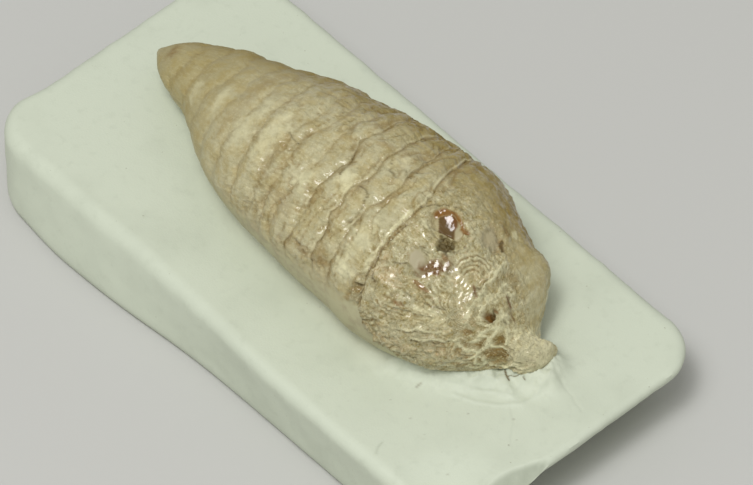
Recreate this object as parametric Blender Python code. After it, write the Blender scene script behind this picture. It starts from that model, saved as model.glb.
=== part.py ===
"""Coprolite on its mounting block.

A spirally coiled coprolite, thin at the tail and blunt at the head, lies along a pale rounded block
and is fixed in a shallow bed in the block's top. The frame's origin is the middle of the block's
underside, +X runs from the tail to the head, and +Z is up.

The design is worked out in millimetres and scaled by MM where vertices are made. A place on the
coprolite is given by x and by an angle around its axis, in degrees, which is 0 at the top and grows
towards the -Y flank.
"""
import math

import bmesh
import bpy
import numpy as np
from mathutils import Matrix, Vector, noise

MM = 0.001

# Mounting block
BLOCK_LENGTH = 46.9
BLOCK_WIDTH = 23.7
BLOCK_HEIGHT = 6.0
CORNER_RADIUS = 3.6
WORN_CORNER_RADIUS = 6.0
RIM_RADIUS = 0.9
END_UNDERCUT = 3.9
SIDE_CUTS = (-15.0, 15.1, 5.0)
LENGTH_CUTS = (-19.7, 20.4, 1.5)
WIDTH_CUTS = (-9.0, 9.1, 1.5)
LIP_HEIGHT = 1.3
LIP_SPREAD = 1.1
CORNER_WEAR = 0.8
WEAR_REACH = 7.5
WEAR_FADE = 5.0
BED_GAP = 0.33
# How the block leans off the straight slab. Sides and ends: where the lean starts, over how far
SIDE_LEAN = (4.0, 6.0)
HEAD_END_LEAN = (8.0, 14.0)
TAIL_END_LEAN = (14.0, 9.0)
# Near side's top edge and foot: outset in the middle, change towards the ends, its centre and reach
TOP_LEAN = (0.90, -0.45, 0.0, 6.0)
FOOT_LEAN = (0.55, 0.55, -6.0, 5.0)
TAIL_FOOT_LEAN = 0.7
FAR_LEAN = (0.10, -0.02)
TAIL_LEAN = (0.9, -0.45)
TAIL_SLANT = (0.02, 8.0)

# Coprolite: x, half width, centre's y, centre's height above the block's top
BODY_STATIONS = (
    (-19.5, 0.15, 1.40, 1.60),
    (-18.5, 0.93, 1.40, 1.83),
    (-15.9, 2.23, 1.40, 2.41),
    (-12.9, 3.16, 1.20, 3.05),
    (-9.9, 4.36, 0.70, 3.62),
    (-6.9, 5.34, 0.40, 4.10),
    (-3.9, 6.07, 0.40, 4.47),
    (-0.9, 6.40, 0.35, 4.70),
    (2.1, 6.74, 0.40, 4.80),
    (5.1, 6.90, 0.50, 4.80),
    (8.1, 7.05, 0.40, 4.80),
    (11.1, 6.42, 0.38, 4.62),
    (13.5, 5.02, 0.50, 3.89),
    (15.0, 3.40, 0.95, 2.95),
    (16.0, 2.00, 1.60, 1.95),
    (16.9, 1.50, 1.90, 1.50),
    (17.5, 1.00, 2.00, 1.40),
    (17.8, 0.12, 2.00, 1.40),
)
WIDEST = 7.05
FLATTENING = 0.85
THINNEST = 0.05
AROUND = 40
DENSE_SIDE = 30.0
CROWDING = 0.35

# Ledges where one whorl laps the next: x on the +Y flank, on top and on the -Y flank, and the step
LEDGE_ANGLES = (-60.0, 15.0, 75.0, 180.0)
LEDGES = (
    (-17.6, -17.3, -17.4, 0.08),
    (-15.9, -15.4, -15.8, 0.10),
    (-13.9, -13.3, -13.8, 0.13),
    (-11.5, -10.9, -11.4, 0.16),
    (-9.1, -8.6, -8.8, 0.18),
    (-7.2, -6.8, -6.8, 0.22),
    (-5.3, -4.9, -4.1, 0.26),
    (-2.9, -2.5, -2.3, 0.13),
    (-1.6, -1.3, -1.0, 0.20),
    (0.1, 0.3, 0.1, 0.24),
    (1.5, 1.85, 1.8, 0.36),
    (3.3, 4.3, 4.05, 0.44),
    (5.0, 6.05, 5.6, 0.34),
    (6.3, 8.15, 8.9, 0.56),
)
WHORL_RINGS = (0.0, 0.14, 0.42, 0.74, 0.94)
TAIL_RINGS = 4
HEAD_RINGS = 24
GROOVE_WIDTH = 0.34
LIP_WIDTH = 0.50
LIP_SHARE = 0.35
# The steps are higher round one angle: the angle, the reach and how much higher
FLANK_STEP = (68.0, 22.0, 0.5)
SWELL = 0.065
LEDGE_WANDER = 0.45
LEDGE_WANDER_SCALE = 0.30
LEDGE_UNEVENNESS = 1.1
LUMPS = ((0.26, 0.34), (0.8, 0.14))
# The relief fades out round the belly, which lies in the block's bed, and where the body is thin
BELLY_FADE = (112.0, 138.0)
THIN_FADE = 1.5
# The foot, where the body dips below the block's top, and how many places along it are tried
FOOT_REACH = (-14.0, 17.0)
FOOT_STATIONS = 40

# Swellings and ridges of the head: x, angle, reach along x, reach round in degrees, height
HEAD_LUMPS = (
    (14.35, -64.0, 1.05, 24.0, 1.05),
    (9.8, 62.0, 1.6, 24.0, 0.30),
    (10.7, -84.0, 2.0, 32.0, -0.55),
    (16.2, -60.0, 0.75, 60.0, -1.10),
    (14.9, 75.0, 0.8, 18.0, 0.30),
    (16.7, 40.0, 0.5, 40.0, 0.35),
    (13.2, 4.0, 1.0, 14.0, 0.22),
)
RIDGE_PATH = ((13.7, -18.0), (14.1, 2.0), (14.15, 24.0), (14.5, 46.0))
RIDGE_HEIGHT = 0.26
RIDGE_WIDTH = 0.28
RIDGE_REACH = 8.0
RIDGE_FADE = 12.0

# Pits: x, angle, half length, half width, depth
PITS = (
    (10.85, 9.0, 1.25, 0.72, 0.50),
    (12.75, -22.0, 0.65, 0.55, 0.38),
    (14.98, 26.5, 0.32, 0.34, 0.55),
    (8.60, 66.0, 0.42, 0.50, 0.50),
    (11.80, 27.5, 0.55, 0.90, 0.22),
    (-2.20, 30.0, 0.35, 0.45, 0.22),
)
# Scales set in the surface: x, angle, half length, half width, height proud of it
SCALES = (
    (10.45, 0.5, 1.00, 0.60, 0.10),
    (10.88, 31.3, 0.48, 0.52, 0.10),
    (13.60, 24.5, 0.50, 0.42, 0.10),
)

# Puts the frame's origin at the middle of the block's underside
FRAME_SHIFT = Vector((0.374, -0.372, 0.0))

BLOCK_COLOUR = (0.60, 0.64, 0.53, 1.0)
FOSSIL_COLOUR = (0.40, 0.33, 0.20, 1.0)


def clear_scene():
    for item in list(bpy.data.objects):
        bpy.data.objects.remove(item, do_unlink=True)


def metres(point):
    return (Vector(point) + FRAME_SHIFT) * MM


def smoothstep(value):
    value = np.clip(value, 0.0, 1.0)
    return value * value * (3.0 - 2.0 * value)


def curve_through(x, xs, ys):
    """A smooth curve through hand-set points, as cubic pieces with averaged slopes."""
    xs = np.asarray(xs, dtype=float)
    ys = np.asarray(ys, dtype=float)
    chords = np.diff(ys) / np.diff(xs)
    slopes = np.concatenate(([chords[0]], 0.5 * (chords[1:] + chords[:-1]), [chords[-1]]))
    x = np.clip(x, xs[0], xs[-1])
    i = np.clip(np.searchsorted(xs, x) - 1, 0, len(xs) - 2)
    span = xs[i + 1] - xs[i]
    t = (x - xs[i]) / span
    start = (1 + 2 * t) * (1 - t) ** 2 * ys[i] + t * (1 - t) ** 2 * span * slopes[i]
    end = t * t * (3 - 2 * t) * ys[i + 1] + t * t * (t - 1) * span * slopes[i + 1]
    return start + end


def station(x):
    rows = np.array(BODY_STATIONS)
    half_width = np.maximum(curve_through(x, rows[:, 0], rows[:, 1]), THINNEST)
    centre_y = curve_through(x, rows[:, 0], rows[:, 2])
    centre_z = curve_through(x, rows[:, 0], rows[:, 3])
    return half_width, centre_y, centre_z


def ledge_noise(ledge, angle, shift):
    """A slow wander round the body, different for each ledge, that closes on itself."""
    turn = math.radians(angle)
    radius = LEDGE_WANDER_SCALE * WIDEST
    return noise.noise(Vector((radius * math.cos(turn), radius * math.sin(turn), ledge[1] + shift)))


def ledge_x(ledge, angle):
    """Where a ledge crosses the given angle, eased round the whole body."""
    right, top, left, _ = ledge
    values = (right, top, left, 0.5 * (right + left))
    angles = list(LEDGE_ANGLES) + [LEDGE_ANGLES[0] + 360.0]
    values = list(values) + [values[0]]
    turned = (angle - angles[0]) % 360.0 + angles[0]
    i = int(np.clip(np.searchsorted(angles, turned, side="right") - 1, 0, 3))
    ease = float(smoothstep((turned - angles[i]) / (angles[i + 1] - angles[i])))
    wander = LEDGE_WANDER * ledge_noise(ledge, angle, 0.37)
    return values[i] + (values[i + 1] - values[i]) * ease + wander


def angle_gap(angle, centre):
    return (angle - centre + 180.0) % 360.0 - 180.0


def belly(angle):
    """1 on the visible sides, 0 on the underside."""
    low, high = BELLY_FADE
    return 1.0 - float(smoothstep((abs(angle_gap(angle, 0.0)) - low) / (high - low)))


def ledge_relief(x, angle, ledge_behind, ledge_ahead):
    """Groove just past the ledge behind, a swell, and the lip of the ledge ahead."""
    relief = 0.0
    centre, reach, extra = FLANK_STEP
    if ledge_behind:
        past = x - ledge_x(ledge_behind, angle)
        flank = 1.0 + extra * math.exp(-((angle_gap(angle, centre) / reach) ** 2))
        flank *= 1.0 + LEDGE_UNEVENNESS * ledge_noise(ledge_behind, angle, 9.1)
        relief -= ledge_behind[3] * flank * math.exp(-((past / GROOVE_WIDTH) ** 2))
    if ledge_ahead:
        short = ledge_x(ledge_ahead, angle) - x
        relief += LIP_SHARE * ledge_ahead[3] * math.exp(-((short / LIP_WIDTH) ** 2))
    if ledge_behind and ledge_ahead:
        length = past + short
        relief += SWELL * length * math.sin(math.pi * min(max(past / length, 0.0), 1.0))
    return relief


def head_relief(x, angle):
    relief = 0.0
    for place, turn, reach, spread, height in HEAD_LUMPS:
        along = (x - place) / reach
        around = angle_gap(angle, turn) / spread
        relief += height * math.exp(-(along * along + around * around))
    angles = [turn for _, turn in RIDGE_PATH]
    inside = (smoothstep((angle - angles[0] + RIDGE_REACH) / RIDGE_FADE)
              * smoothstep((angles[-1] + RIDGE_REACH - angle) / RIDGE_FADE))
    ridge_x = np.interp(angle, angles, [place for place, _ in RIDGE_PATH])
    return relief + RIDGE_HEIGHT * float(inside) * math.exp(-(((x - ridge_x) / RIDGE_WIDTH) ** 2))


def lumps(point):
    return sum(height * noise.noise(point * scale) for scale, height in LUMPS)


def body_point(x, angle, relief=0.0):
    """Point on the coprolite at x and angle, raised by relief, in millimetres."""
    half_width, centre_y, centre_z = (float(v) for v in station(x))
    turn = math.radians(angle)
    out = max(half_width + relief, 0.02)
    y = centre_y - out * math.sin(turn)
    z = BLOCK_HEIGHT + centre_z + FLATTENING * out * math.cos(turn)
    return Vector((x, y, z))


def skin_point(x, angle, ledge_behind, ledge_ahead):
    width = float(station(x)[0])
    shown = belly(angle) * min(width / THIN_FADE, 1.0)
    relief = ledge_relief(x, angle, ledge_behind, ledge_ahead) + head_relief(x, angle)
    relief += lumps(body_point(x, angle))
    return body_point(x, angle, relief * shown)


def skin_normal(x, angle):
    step = 0.05
    along = body_point(x + step, angle) - body_point(x - step, angle)
    around = body_point(x, angle + 1.0) - body_point(x, angle - 1.0)
    return around.cross(along).normalized()


def ring_angles(count):
    """Angles round the body, closer together on the side that faces up and to -Y."""
    even = np.linspace(0.0, 360.0, count, endpoint=False)
    crowd = np.degrees(CROWDING * np.sin(np.radians(even - DENSE_SIDE)))
    return [float(a) for a in even - crowd]


def head_spacing(count):
    """Shares of the way from the last ledge to the nose, by distance along the top."""
    xs = np.linspace(LEDGES[-1][1], BODY_STATIONS[-1][0], 200)
    half_width, _, centre_z = station(xs)
    climb = np.diff(centre_z + FLATTENING * half_width)
    distance = np.concatenate(([0.0], np.cumsum(np.hypot(np.diff(xs), climb))))
    even = np.linspace(0.0, distance[-1], count + 1)[:-1]
    places = np.interp(even, distance, xs)
    return [(p - xs[0]) / (xs[-1] - xs[0]) for p in places]


def body_rings():
    """Each ring as a share of the way between two ledges, from the tail to the nose."""
    rings = [(None, LEDGES[0], s) for s in np.linspace(0.0, 1.0, TAIL_RINGS + 1)[1:-1]]
    rings.append((None, LEDGES[0], WHORL_RINGS[-1]))
    for behind, ahead in zip(LEDGES[:-1], LEDGES[1:]):
        rings.extend((behind, ahead, s) for s in WHORL_RINGS)
    rings.extend((LEDGES[-1], None, s) for s in head_spacing(HEAD_RINGS))
    return rings


def ring_x(behind, ahead, share, angle):
    start = ledge_x(behind, angle) if behind else BODY_STATIONS[0][0]
    end = ledge_x(ahead, angle) if ahead else BODY_STATIONS[-1][0]
    return start + (end - start) * share


def loft(rings, tail, nose):
    """Closed mesh through rings of points, with a point at each end."""
    mesh = bmesh.new()
    loops = [[mesh.verts.new(metres(p)) for p in ring] for ring in rings]
    for near, far in zip(loops[:-1], loops[1:]):
        for i, corner in enumerate(near):
            j = (i + 1) % len(near)
            mesh.faces.new((corner, far[i], far[j], near[j]))
    for loop, tip in ((loops[0], tail), (loops[-1], nose)):
        end = mesh.verts.new(metres(tip))
        for i, corner in enumerate(loop):
            mesh.faces.new((corner, loop[(i + 1) % len(loop)], end))
    bmesh.ops.recalc_face_normals(mesh, faces=mesh.faces)
    return mesh


def add_object(name, mesh, material=None, smooth_angle=None):
    data = bpy.data.meshes.new(name)
    mesh.to_mesh(data)
    mesh.free()
    if smooth_angle is not None:
        data.shade_smooth()
        data.set_sharp_from_angle(angle=math.radians(smooth_angle))
    item = bpy.data.objects.new(name, data)
    bpy.context.collection.objects.link(item)
    if material:
        data.materials.append(material)
    return item


def add_tool(name, mesh):
    tool = add_object(name, mesh)
    tool.hide_render = True
    tool.display_type = "WIRE"
    return tool


def add_boolean(item, tool, operation):
    cut = item.modifiers.new(tool.name, "BOOLEAN")
    cut.operation = operation
    cut.solver = "EXACT"
    cut.object = tool


def make_material(name, colour, roughness):
    material = bpy.data.materials.new(name)
    material.use_nodes = True
    shader = material.node_tree.nodes["Principled BSDF"]
    shader.inputs["Base Color"].default_value = colour
    shader.inputs["Roughness"].default_value = roughness
    shader.inputs["Metallic"].default_value = 0.0
    return material


def ellipsoids(rows, sink):
    """Small ellipsoids on the skin, one for each row, sunk by a share of their height."""
    mesh = bmesh.new()
    for x, angle, half_length, half_width, height in rows:
        up = skin_normal(x, angle)
        along = Vector((1.0, 0.0, 0.0)) - up * up.x
        along.normalize()
        across = up.cross(along)
        turn = Matrix((along, across, up)).transposed().to_4x4()
        centre = skin_point(x, angle, nearest_behind(x, angle), None) - up * height * sink
        size = Matrix.Diagonal((half_length, half_width, height * (1.0 + sink), 1.0))
        place = Matrix.Scale(MM, 4) @ Matrix.Translation(centre + FRAME_SHIFT) @ turn @ size
        bmesh.ops.create_icosphere(mesh, subdivisions=2, radius=1.0, matrix=place)
    return mesh


def nearest_behind(x, angle):
    passed = [ledge for ledge in LEDGES if ledge_x(ledge, angle) < x]
    return passed[-1] if passed else None


def make_coprolite():
    angles = ring_angles(AROUND)
    rings = []
    for behind, ahead, share in body_rings():
        places = [(ring_x(behind, ahead, share, a), a) for a in angles]
        rings.append([skin_point(x, a, behind, ahead) for x, a in places])
    tail = body_point(BODY_STATIONS[0][0], 0.0, -1.0)
    nose = body_point(BODY_STATIONS[-1][0], 0.0, -1.0)
    material = make_material("fossil_dung", FOSSIL_COLOUR, 0.55)
    coprolite = add_object("coprolite", loft(rings, tail, nose), material, 35.0)
    add_boolean(coprolite, add_tool("pit_cutters", ellipsoids(PITS, 0.0)), "DIFFERENCE")
    add_boolean(coprolite, add_tool("scale_plates", ellipsoids(SCALES, 1.5)), "UNION")
    return coprolite


def make_bed_cutter():
    """The coprolite's plain form, a gap larger all round, to cut its bed in the block."""
    angles = np.linspace(0.0, 360.0, 28, endpoint=False)
    xs = np.linspace(BODY_STATIONS[0][0], BODY_STATIONS[-1][0], 34)[1:-1]
    rings = [[body_point(float(x), float(a), BED_GAP) for a in angles] for x in xs]
    tail = body_point(BODY_STATIONS[0][0] - BED_GAP, 0.0, -1.0)
    nose = body_point(BODY_STATIONS[-1][0], 0.0, -1.0) + Vector((BED_GAP, 0.0, 0.0))
    return add_tool("bed_cutter", loft(rings, tail, nose))


def footprint_distance(x, y):
    """How far a place on the block's top is outside the coprolite's foot."""
    best = 1e9
    for place in np.linspace(*FOOT_REACH, FOOT_STATIONS):
        half_width, centre_y, centre_z = (float(v) for v in station(place))
        rise = centre_z / (FLATTENING * half_width)
        if abs(rise) >= 1.0:
            continue
        chord = half_width * math.sqrt(1.0 - rise * rise)
        side = max(abs(y - centre_y) - chord, 0.0)
        best = min(best, math.hypot(x - place, side))
    return best


def eased(place, lean):
    """0 before a lean's start and 1 past its reach."""
    start, reach = lean
    return float(smoothstep((place - start) / reach))


def shape_block_point(x, y, z):
    """Turn a point of the straight slab into the hand-made block's uneven form."""
    low = 1.0 - z / BLOCK_HEIGHT
    near_side = eased(-y, SIDE_LEAN)
    far_side = eased(y, SIDE_LEAN)
    tail_end = eased(-x, TAIL_END_LEAN)
    top_lean, foot_lean = (middle + change * math.tanh((x - centre) / reach)
                           for middle, change, centre, reach in (TOP_LEAN, FOOT_LEAN))
    foot_lean += TAIL_FOOT_LEAN * tail_end
    y += near_side * (top_lean * (1.0 - low) + foot_lean * low)
    y += far_side * (FAR_LEAN[0] + FAR_LEAN[1] * x)
    x -= eased(x, HEAD_END_LEAN) * END_UNDERCUT * low
    x += tail_end * (near_side * (TAIL_LEAN[0] * low + TAIL_LEAN[1])
                     - TAIL_SLANT[0] * (y + TAIL_SLANT[1]))
    return x, y


def select_edges(mesh, test):
    return [e for e in mesh.edges if test(*(v.co / MM for v in e.verts))]


def upright_corner(near_worn):
    def test(a, b):
        worn = a.x > 0.0 and a.y < 0.0
        return abs(a.z - b.z) > 1.0 and abs(a.x) > 1.0 and worn == near_worn
    return test


def rim_edge(a, b):
    on_level = abs(a.z - b.z) < 0.01
    mid = (a + b) * 0.5
    return on_level and abs(abs(mid.z - BLOCK_HEIGHT / 2) - BLOCK_HEIGHT / 2) < 0.01


def cut_across(mesh, geom, place, normal):
    point = Vector(place) * MM
    bmesh.ops.bisect_plane(mesh, geom=geom, dist=1e-7, plane_co=point, plane_no=normal)


def face_geometry(faces):
    edges = {e for f in faces for e in f.edges}
    verts = {v for f in faces for v in f.verts}
    return list(faces) + list(edges) + list(verts)


def top_faces(mesh):
    return [f for f in mesh.faces if all(abs(v.co.z / MM - BLOCK_HEIGHT) < 0.01 for v in f.verts)]


def make_block():
    mesh = bmesh.new()
    size = Matrix.Diagonal((BLOCK_LENGTH, BLOCK_WIDTH, BLOCK_HEIGHT, 1.0))
    lift = Matrix.Translation((0.0, 0.0, BLOCK_HEIGHT / 2))
    bmesh.ops.create_cube(mesh, size=1.0, matrix=Matrix.Scale(MM, 4) @ lift @ size)
    for worn, radius in ((True, WORN_CORNER_RADIUS), (False, CORNER_RADIUS)):
        edges = select_edges(mesh, upright_corner(worn))
        bmesh.ops.bevel(mesh, geom=edges, offset=radius * MM, segments=6, profile=0.5,
                        affect="EDGES", offset_type="OFFSET")
    rim = [e for e in select_edges(mesh, rim_edge)
           if len({round(f.normal.z) for f in e.link_faces}) == 2]
    bmesh.ops.bevel(mesh, geom=rim, offset=RIM_RADIUS * MM, segments=3, profile=0.5,
                    affect="EDGES", offset_type="OFFSET")
    for x in np.arange(*SIDE_CUTS):
        cut_across(mesh, face_geometry(mesh.faces), (x, 0.0, 0.0), (1, 0, 0))
    for x in np.arange(*LENGTH_CUTS):
        cut_across(mesh, face_geometry(top_faces(mesh)), (x, 0.0, 0.0), (1, 0, 0))
    for y in np.arange(*WIDTH_CUTS):
        cut_across(mesh, face_geometry(top_faces(mesh)), (0.0, y, 0.0), (0, 1, 0))
    for vert in mesh.verts:
        x, y, z = vert.co / MM
        lip = LIP_HEIGHT * math.exp(-((footprint_distance(x, y) / LIP_SPREAD) ** 2))
        corner = math.hypot(x - BLOCK_LENGTH / 2, y + BLOCK_WIDTH / 2)
        wear = CORNER_WEAR * float(smoothstep((WEAR_REACH - corner) / WEAR_FADE))
        top = float(smoothstep(z / BLOCK_HEIGHT))
        x, y = shape_block_point(x, y, z)
        if z > BLOCK_HEIGHT - 0.01:
            z += lip
        vert.co = metres((x, y, z - wear * top))
    bmesh.ops.triangulate(mesh, faces=mesh.faces)
    block = add_object("mounting_block", mesh, make_material("pale_block", BLOCK_COLOUR, 0.6), 30.0)
    add_boolean(block, make_bed_cutter(), "DIFFERENCE")
    return block


def main():
    clear_scene()
    make_coprolite()
    make_block()


main()
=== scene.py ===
"""The looks of a spiral coprolite that is fixed on a pale mounting block.

The coprolite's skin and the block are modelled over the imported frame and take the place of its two
nodes. Sizes are worked out in millimetres and scaled by MM where vertices are made. A place on the
coprolite is given by x along its body and by an angle round it, in degrees, which is 0 at the top
and grows towards the -Y flank.
"""

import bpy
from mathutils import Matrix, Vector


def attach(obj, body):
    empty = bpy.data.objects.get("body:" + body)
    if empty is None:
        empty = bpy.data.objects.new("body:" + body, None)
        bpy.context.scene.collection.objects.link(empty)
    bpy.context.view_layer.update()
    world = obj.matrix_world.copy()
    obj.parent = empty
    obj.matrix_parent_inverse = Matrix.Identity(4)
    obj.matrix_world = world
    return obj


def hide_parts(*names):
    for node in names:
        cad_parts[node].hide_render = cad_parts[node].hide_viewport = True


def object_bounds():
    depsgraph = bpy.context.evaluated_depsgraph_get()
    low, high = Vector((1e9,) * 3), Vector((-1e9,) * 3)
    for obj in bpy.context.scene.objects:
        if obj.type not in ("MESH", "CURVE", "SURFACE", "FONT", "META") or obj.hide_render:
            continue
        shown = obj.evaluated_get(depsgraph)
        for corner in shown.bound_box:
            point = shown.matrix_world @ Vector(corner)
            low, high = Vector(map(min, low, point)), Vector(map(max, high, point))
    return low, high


bl_info = {
    "name": "Spiral coprolite on a mounting block",
    "version": (1, 0, 0),
    "blender": (4, 5, 0),
    "location": "View3D > Sidebar > Coprolite",
    "description": "Models and finishes a spiral coprolite and its mounting block",
    "category": "Add Mesh",
}

import math

import bpy
import numpy as np
from bpy.props import FloatProperty, FloatVectorProperty, PointerProperty
from mathutils import Vector, noise

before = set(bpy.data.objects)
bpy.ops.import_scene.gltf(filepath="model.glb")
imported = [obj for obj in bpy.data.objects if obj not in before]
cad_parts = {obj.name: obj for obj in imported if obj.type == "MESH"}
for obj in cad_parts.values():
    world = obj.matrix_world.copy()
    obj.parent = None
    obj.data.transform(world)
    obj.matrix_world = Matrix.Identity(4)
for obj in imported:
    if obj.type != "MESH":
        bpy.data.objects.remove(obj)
CAD_LOW, CAD_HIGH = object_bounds()

MM = 0.001
FRAME_SHIFT = np.array((0.374, -0.372, 0.0))

# Coprolite: x, half width, centre's y, centre's height above the block's top
BODY_STATIONS = (
    (-19.5, 0.15, 1.4, 1.6), (-18.5, 0.93, 1.4, 1.83), (-15.9, 2.23, 1.4, 2.41),
    (-12.9, 3.16, 1.2, 3.05), (-9.9, 4.36, 0.7, 3.62), (-6.9, 5.34, 0.4, 4.1),
    (-3.9, 6.07, 0.4, 4.47), (-0.9, 6.4, 0.35, 4.7), (2.1, 6.74, 0.4, 4.8), (5.1, 6.9, 0.5, 4.8),
    (8.1, 7.05, 0.4, 4.8), (11.1, 6.42, 0.38, 4.62), (13.5, 5.02, 0.5, 3.89),
    (15, 3.4, 0.95, 2.95), (16, 2, 1.6, 1.95), (16.9, 1.5, 1.9, 1.5), (17.5, 1, 2, 1.4),
    (17.8, 0.12, 2, 1.4),
)
FLATTENING = 0.85

# Ledges where one whorl laps the next: x on the +Y flank, on top and on the -Y flank, the step,
# how dark its line is and how crisp
LEDGE_ANGLES = (-60.0, 15.0, 75.0, 180.0)
LEDGES = (
    (-17.6, -17.3, -17.4, 0.08, 0.2, 0), (-15.9, -15.4, -15.8, 0.1, 0.3, 0),
    (-13.9, -13.3, -13.8, 0.13, 0.35, 0), (-11.5, -10.9, -11.4, 0.16, 0.3, 0),
    (-9.1, -8.6, -8.8, 0.18, 0.3, 0), (-7.2, -6.8, -6.8, 0.22, 0.35, 0.1),
    (-5.3, -4.9, -4.1, 0.26, 0.55, 0.2), (-2.9, -2.5, -2.3, 0.13, 0.35, 0.1),
    (-1.6, -1.3, -1, 0.2, 0.6, 0.3), (0.1, 0.3, 0.1, 0.24, 0.6, 0.3),
    (1.5, 1.85, 1.8, 0.36, 0.95, 0.6), (3.3, 4.3, 4.05, 0.44, 1, 0.8),
    (5, 6.05, 5.6, 0.34, 0.75, 0.5), (6.3, 8.15, 8.9, 0.56, 0.9, 1),
)
LEDGE_WANDER = 0.50
LEDGE_WANDER_RADIUS = 0.34 * max(row[1] for row in BODY_STATIONS)
LEDGE_UNEVENNESS = 1.1
LEDGE_CRINKLE = 0.55
LEDGE_CRINKLE_SCALE = 0.8
LEDGE_GROOVE = 0.25
LEDGE_DIP = 0.22
LEDGE_LIP = 0.16
SWELL = 0.045
LUMPS = ((0.26, 0.34), (0.8, 0.14))
# Relief fades out on the belly, from an angle on and over so many degrees, and on slender parts
BELLY_FADE = (112.0, 26.0)
SLENDER = 1.5

# Swellings of the head: x, angle, reach along x, reach round in degrees, height
HEAD_LUMPS = (
    (14.35, -64, 1.05, 24, 1.05), (9.8, 62, 1.6, 24, 0.3), (10.7, -84, 2, 32, -0.55),
    (16.2, -60, 0.75, 60, -1.1), (14.9, 75, 0.8, 18, 0.3), (16.7, 40, 0.5, 40, 0.35),
    (13.2, 4, 1, 14, 0.22),
)
RIDGE_PATH = ((13.7, -18), (14.1, 2), (14.15, 24), (14.5, 46))
RIDGE_HEIGHT = 0.26
RIDGE_WIDTH = 0.28
RIDGE_ENDS = 8.0

# Pits: x, angle, half length, half width, depth
PITS = (
    (10.65, 7, 1.42, 1.3, 0.36), (11.22, 12.8, 0.52, 0.58, 0.42), (12.5, -18, 0.8, 1, 0.14),
    (14.98, 26, 0.27, 0.44, 0.5), (15.02, 16.5, 0.13, 0.15, 0.25), (8.6, 66, 0.36, 0.45, 0.4),
    (11.8, 27.5, 0.6, 1.2, 0.12), (-2.2, 30, 0.3, 0.4, 0.22),
)

# Mounting block
BLOCK_LENGTH = 46.9
BLOCK_WIDTH = 23.7
BLOCK_HEIGHT = 6.0
CORNER_RADIUS = 3.6
WORN_CORNER_RADIUS = 6.0
RIM_RADIUS = 0.9
END_UNDERCUT = 3.9
LIP_HEIGHT = 1.3
LIP_SPREAD = 1.1
LIP_UNDER_HEAD = 0.4
LIP_RAGGED = 0.4
CORNER_WEAR = 0.8
CORNER_WEAR_REACH = (7.5, 5.0)
BED_OVERLAP = 0.06
TOP_WAVES = 0.05
SIDE_WAVES = 0.06


# ------------------------------------------------------------------ sizes and colours


def shade(red, green, blue):
    """A colour given as 0-255 screen values, as linear light."""
    values = np.array((red, green, blue)) / 255.0
    linear = np.where(values <= 0.04045, values / 12.92, ((values + 0.055) / 1.055) ** 2.4)
    return tuple(float(v) for v in linear)


def colour_choice(name, description, red, green, blue):
    return FloatVectorProperty(name=name, description=description, subtype="COLOR", size=3,
                               min=0.0, max=1.0, default=shade(red, green, blue))


def grain_height(height):
    return FloatProperty(name="Grain", description="Height of the fine surface grain",
                         unit="LENGTH", min=0.0, max=0.0005, default=height)


class CoproliteLooks(bpy.types.PropertyGroup):
    """Colours and relief of the coprolite."""

    tan: colour_choice("Tan", "Main colour of the whorls", 182, 169, 122)
    light_tan: colour_choice("Light tan", "Paler blotches of the whorls", 190, 183, 145)
    # Golden is partly painted shade where it darkens the +Y flank
    golden: colour_choice("Golden", "Golden-brown flank and stained whorls", 146, 126, 56)
    # Brown is partly painted shade: in rib troughs, creases and on the +Y flank
    brown: colour_choice("Brown", "Stains and grooves", 132, 102, 42)
    rosy: colour_choice("Rosy", "Faintly pink patches of the head", 212, 184, 142)
    # Straw is partly painted light on the ledges' lips and rib crests
    straw: colour_choice("Straw", "Pale strands, lips and netting", 236, 231, 188)
    amber: colour_choice("Amber", "Translucent scale fragments", 136, 94, 32)
    # Umber is partly painted shade: it darkens the bottoms of pits, holes and grooves
    umber: colour_choice("Umber", "Dark bottoms of the pits", 86, 69, 28)
    maroon: colour_choice("Maroon", "Crumbled glossy fragments", 106, 65, 7)
    grey: colour_choice("Grey", "Smooth grey scale fragment and pit walls", 170, 161, 130)
    # Olive is painted shade: the underside band's shade with the block's greenish bounce light
    olive: colour_choice("Olive", "Smooth matrix along the foot", 186, 182, 146)
    grain: grain_height(0.00016)


class BlockLooks(bpy.types.PropertyGroup):
    """Colours of the mounting block."""

    pale: colour_choice("Pale", "Main colour of the block", 206, 213, 194)
    worn: colour_choice("Worn", "Worn rims and scuffs", 170, 177, 158)
    # Foot is painted shade on the block beside the coprolite's foot
    foot: colour_choice("Foot", "Block right beside the coprolite", 200, 199, 172)
    crack: colour_choice("Crack", "Bottoms of the cracks", 110, 98, 66)
    speck: colour_choice("Speck", "Single dark specks", 120, 108, 84)
    pore: colour_choice("Pore", "Small pores all over", 140, 136, 112)
    grain: grain_height(0.00002)


class StageLooks(bpy.types.PropertyGroup):
    """Floor, lights and camera."""

    floor: colour_choice("Floor", "Colour of the floor", 196, 196, 192)
    key_power: FloatProperty(name="Key light", description="Power of the main soft light in watts",
                             min=0.0, default=1.42)
    sky: FloatProperty(name="Sky", description="Strength of the even light from all round",
                       min=0.0, default=0.42)
    azimuth: FloatProperty(name="Azimuth", description="Camera's turn round the object",
                           subtype="ANGLE", default=math.radians(47.64))
    elevation: FloatProperty(name="Elevation", description="Camera's height above the horizon",
                             subtype="ANGLE", default=math.radians(49.04))
    distance: FloatProperty(name="Distance", description="Camera's distance from its aim",
                            unit="LENGTH", min=0.01, default=0.4112)
    aim: FloatVectorProperty(name="Aim", description="Point the camera looks at", subtype="XYZ",
                             unit="LENGTH", size=3, default=(0.002334, 0.001248, 0.006))


# ------------------------------------------------------------------ small tools


# How an octave of noise is weaker and finer than the one before
OCTAVE_FALL = (0.9, 2.1)
# Millimetres well beyond the object
FAR = 1e3


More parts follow.
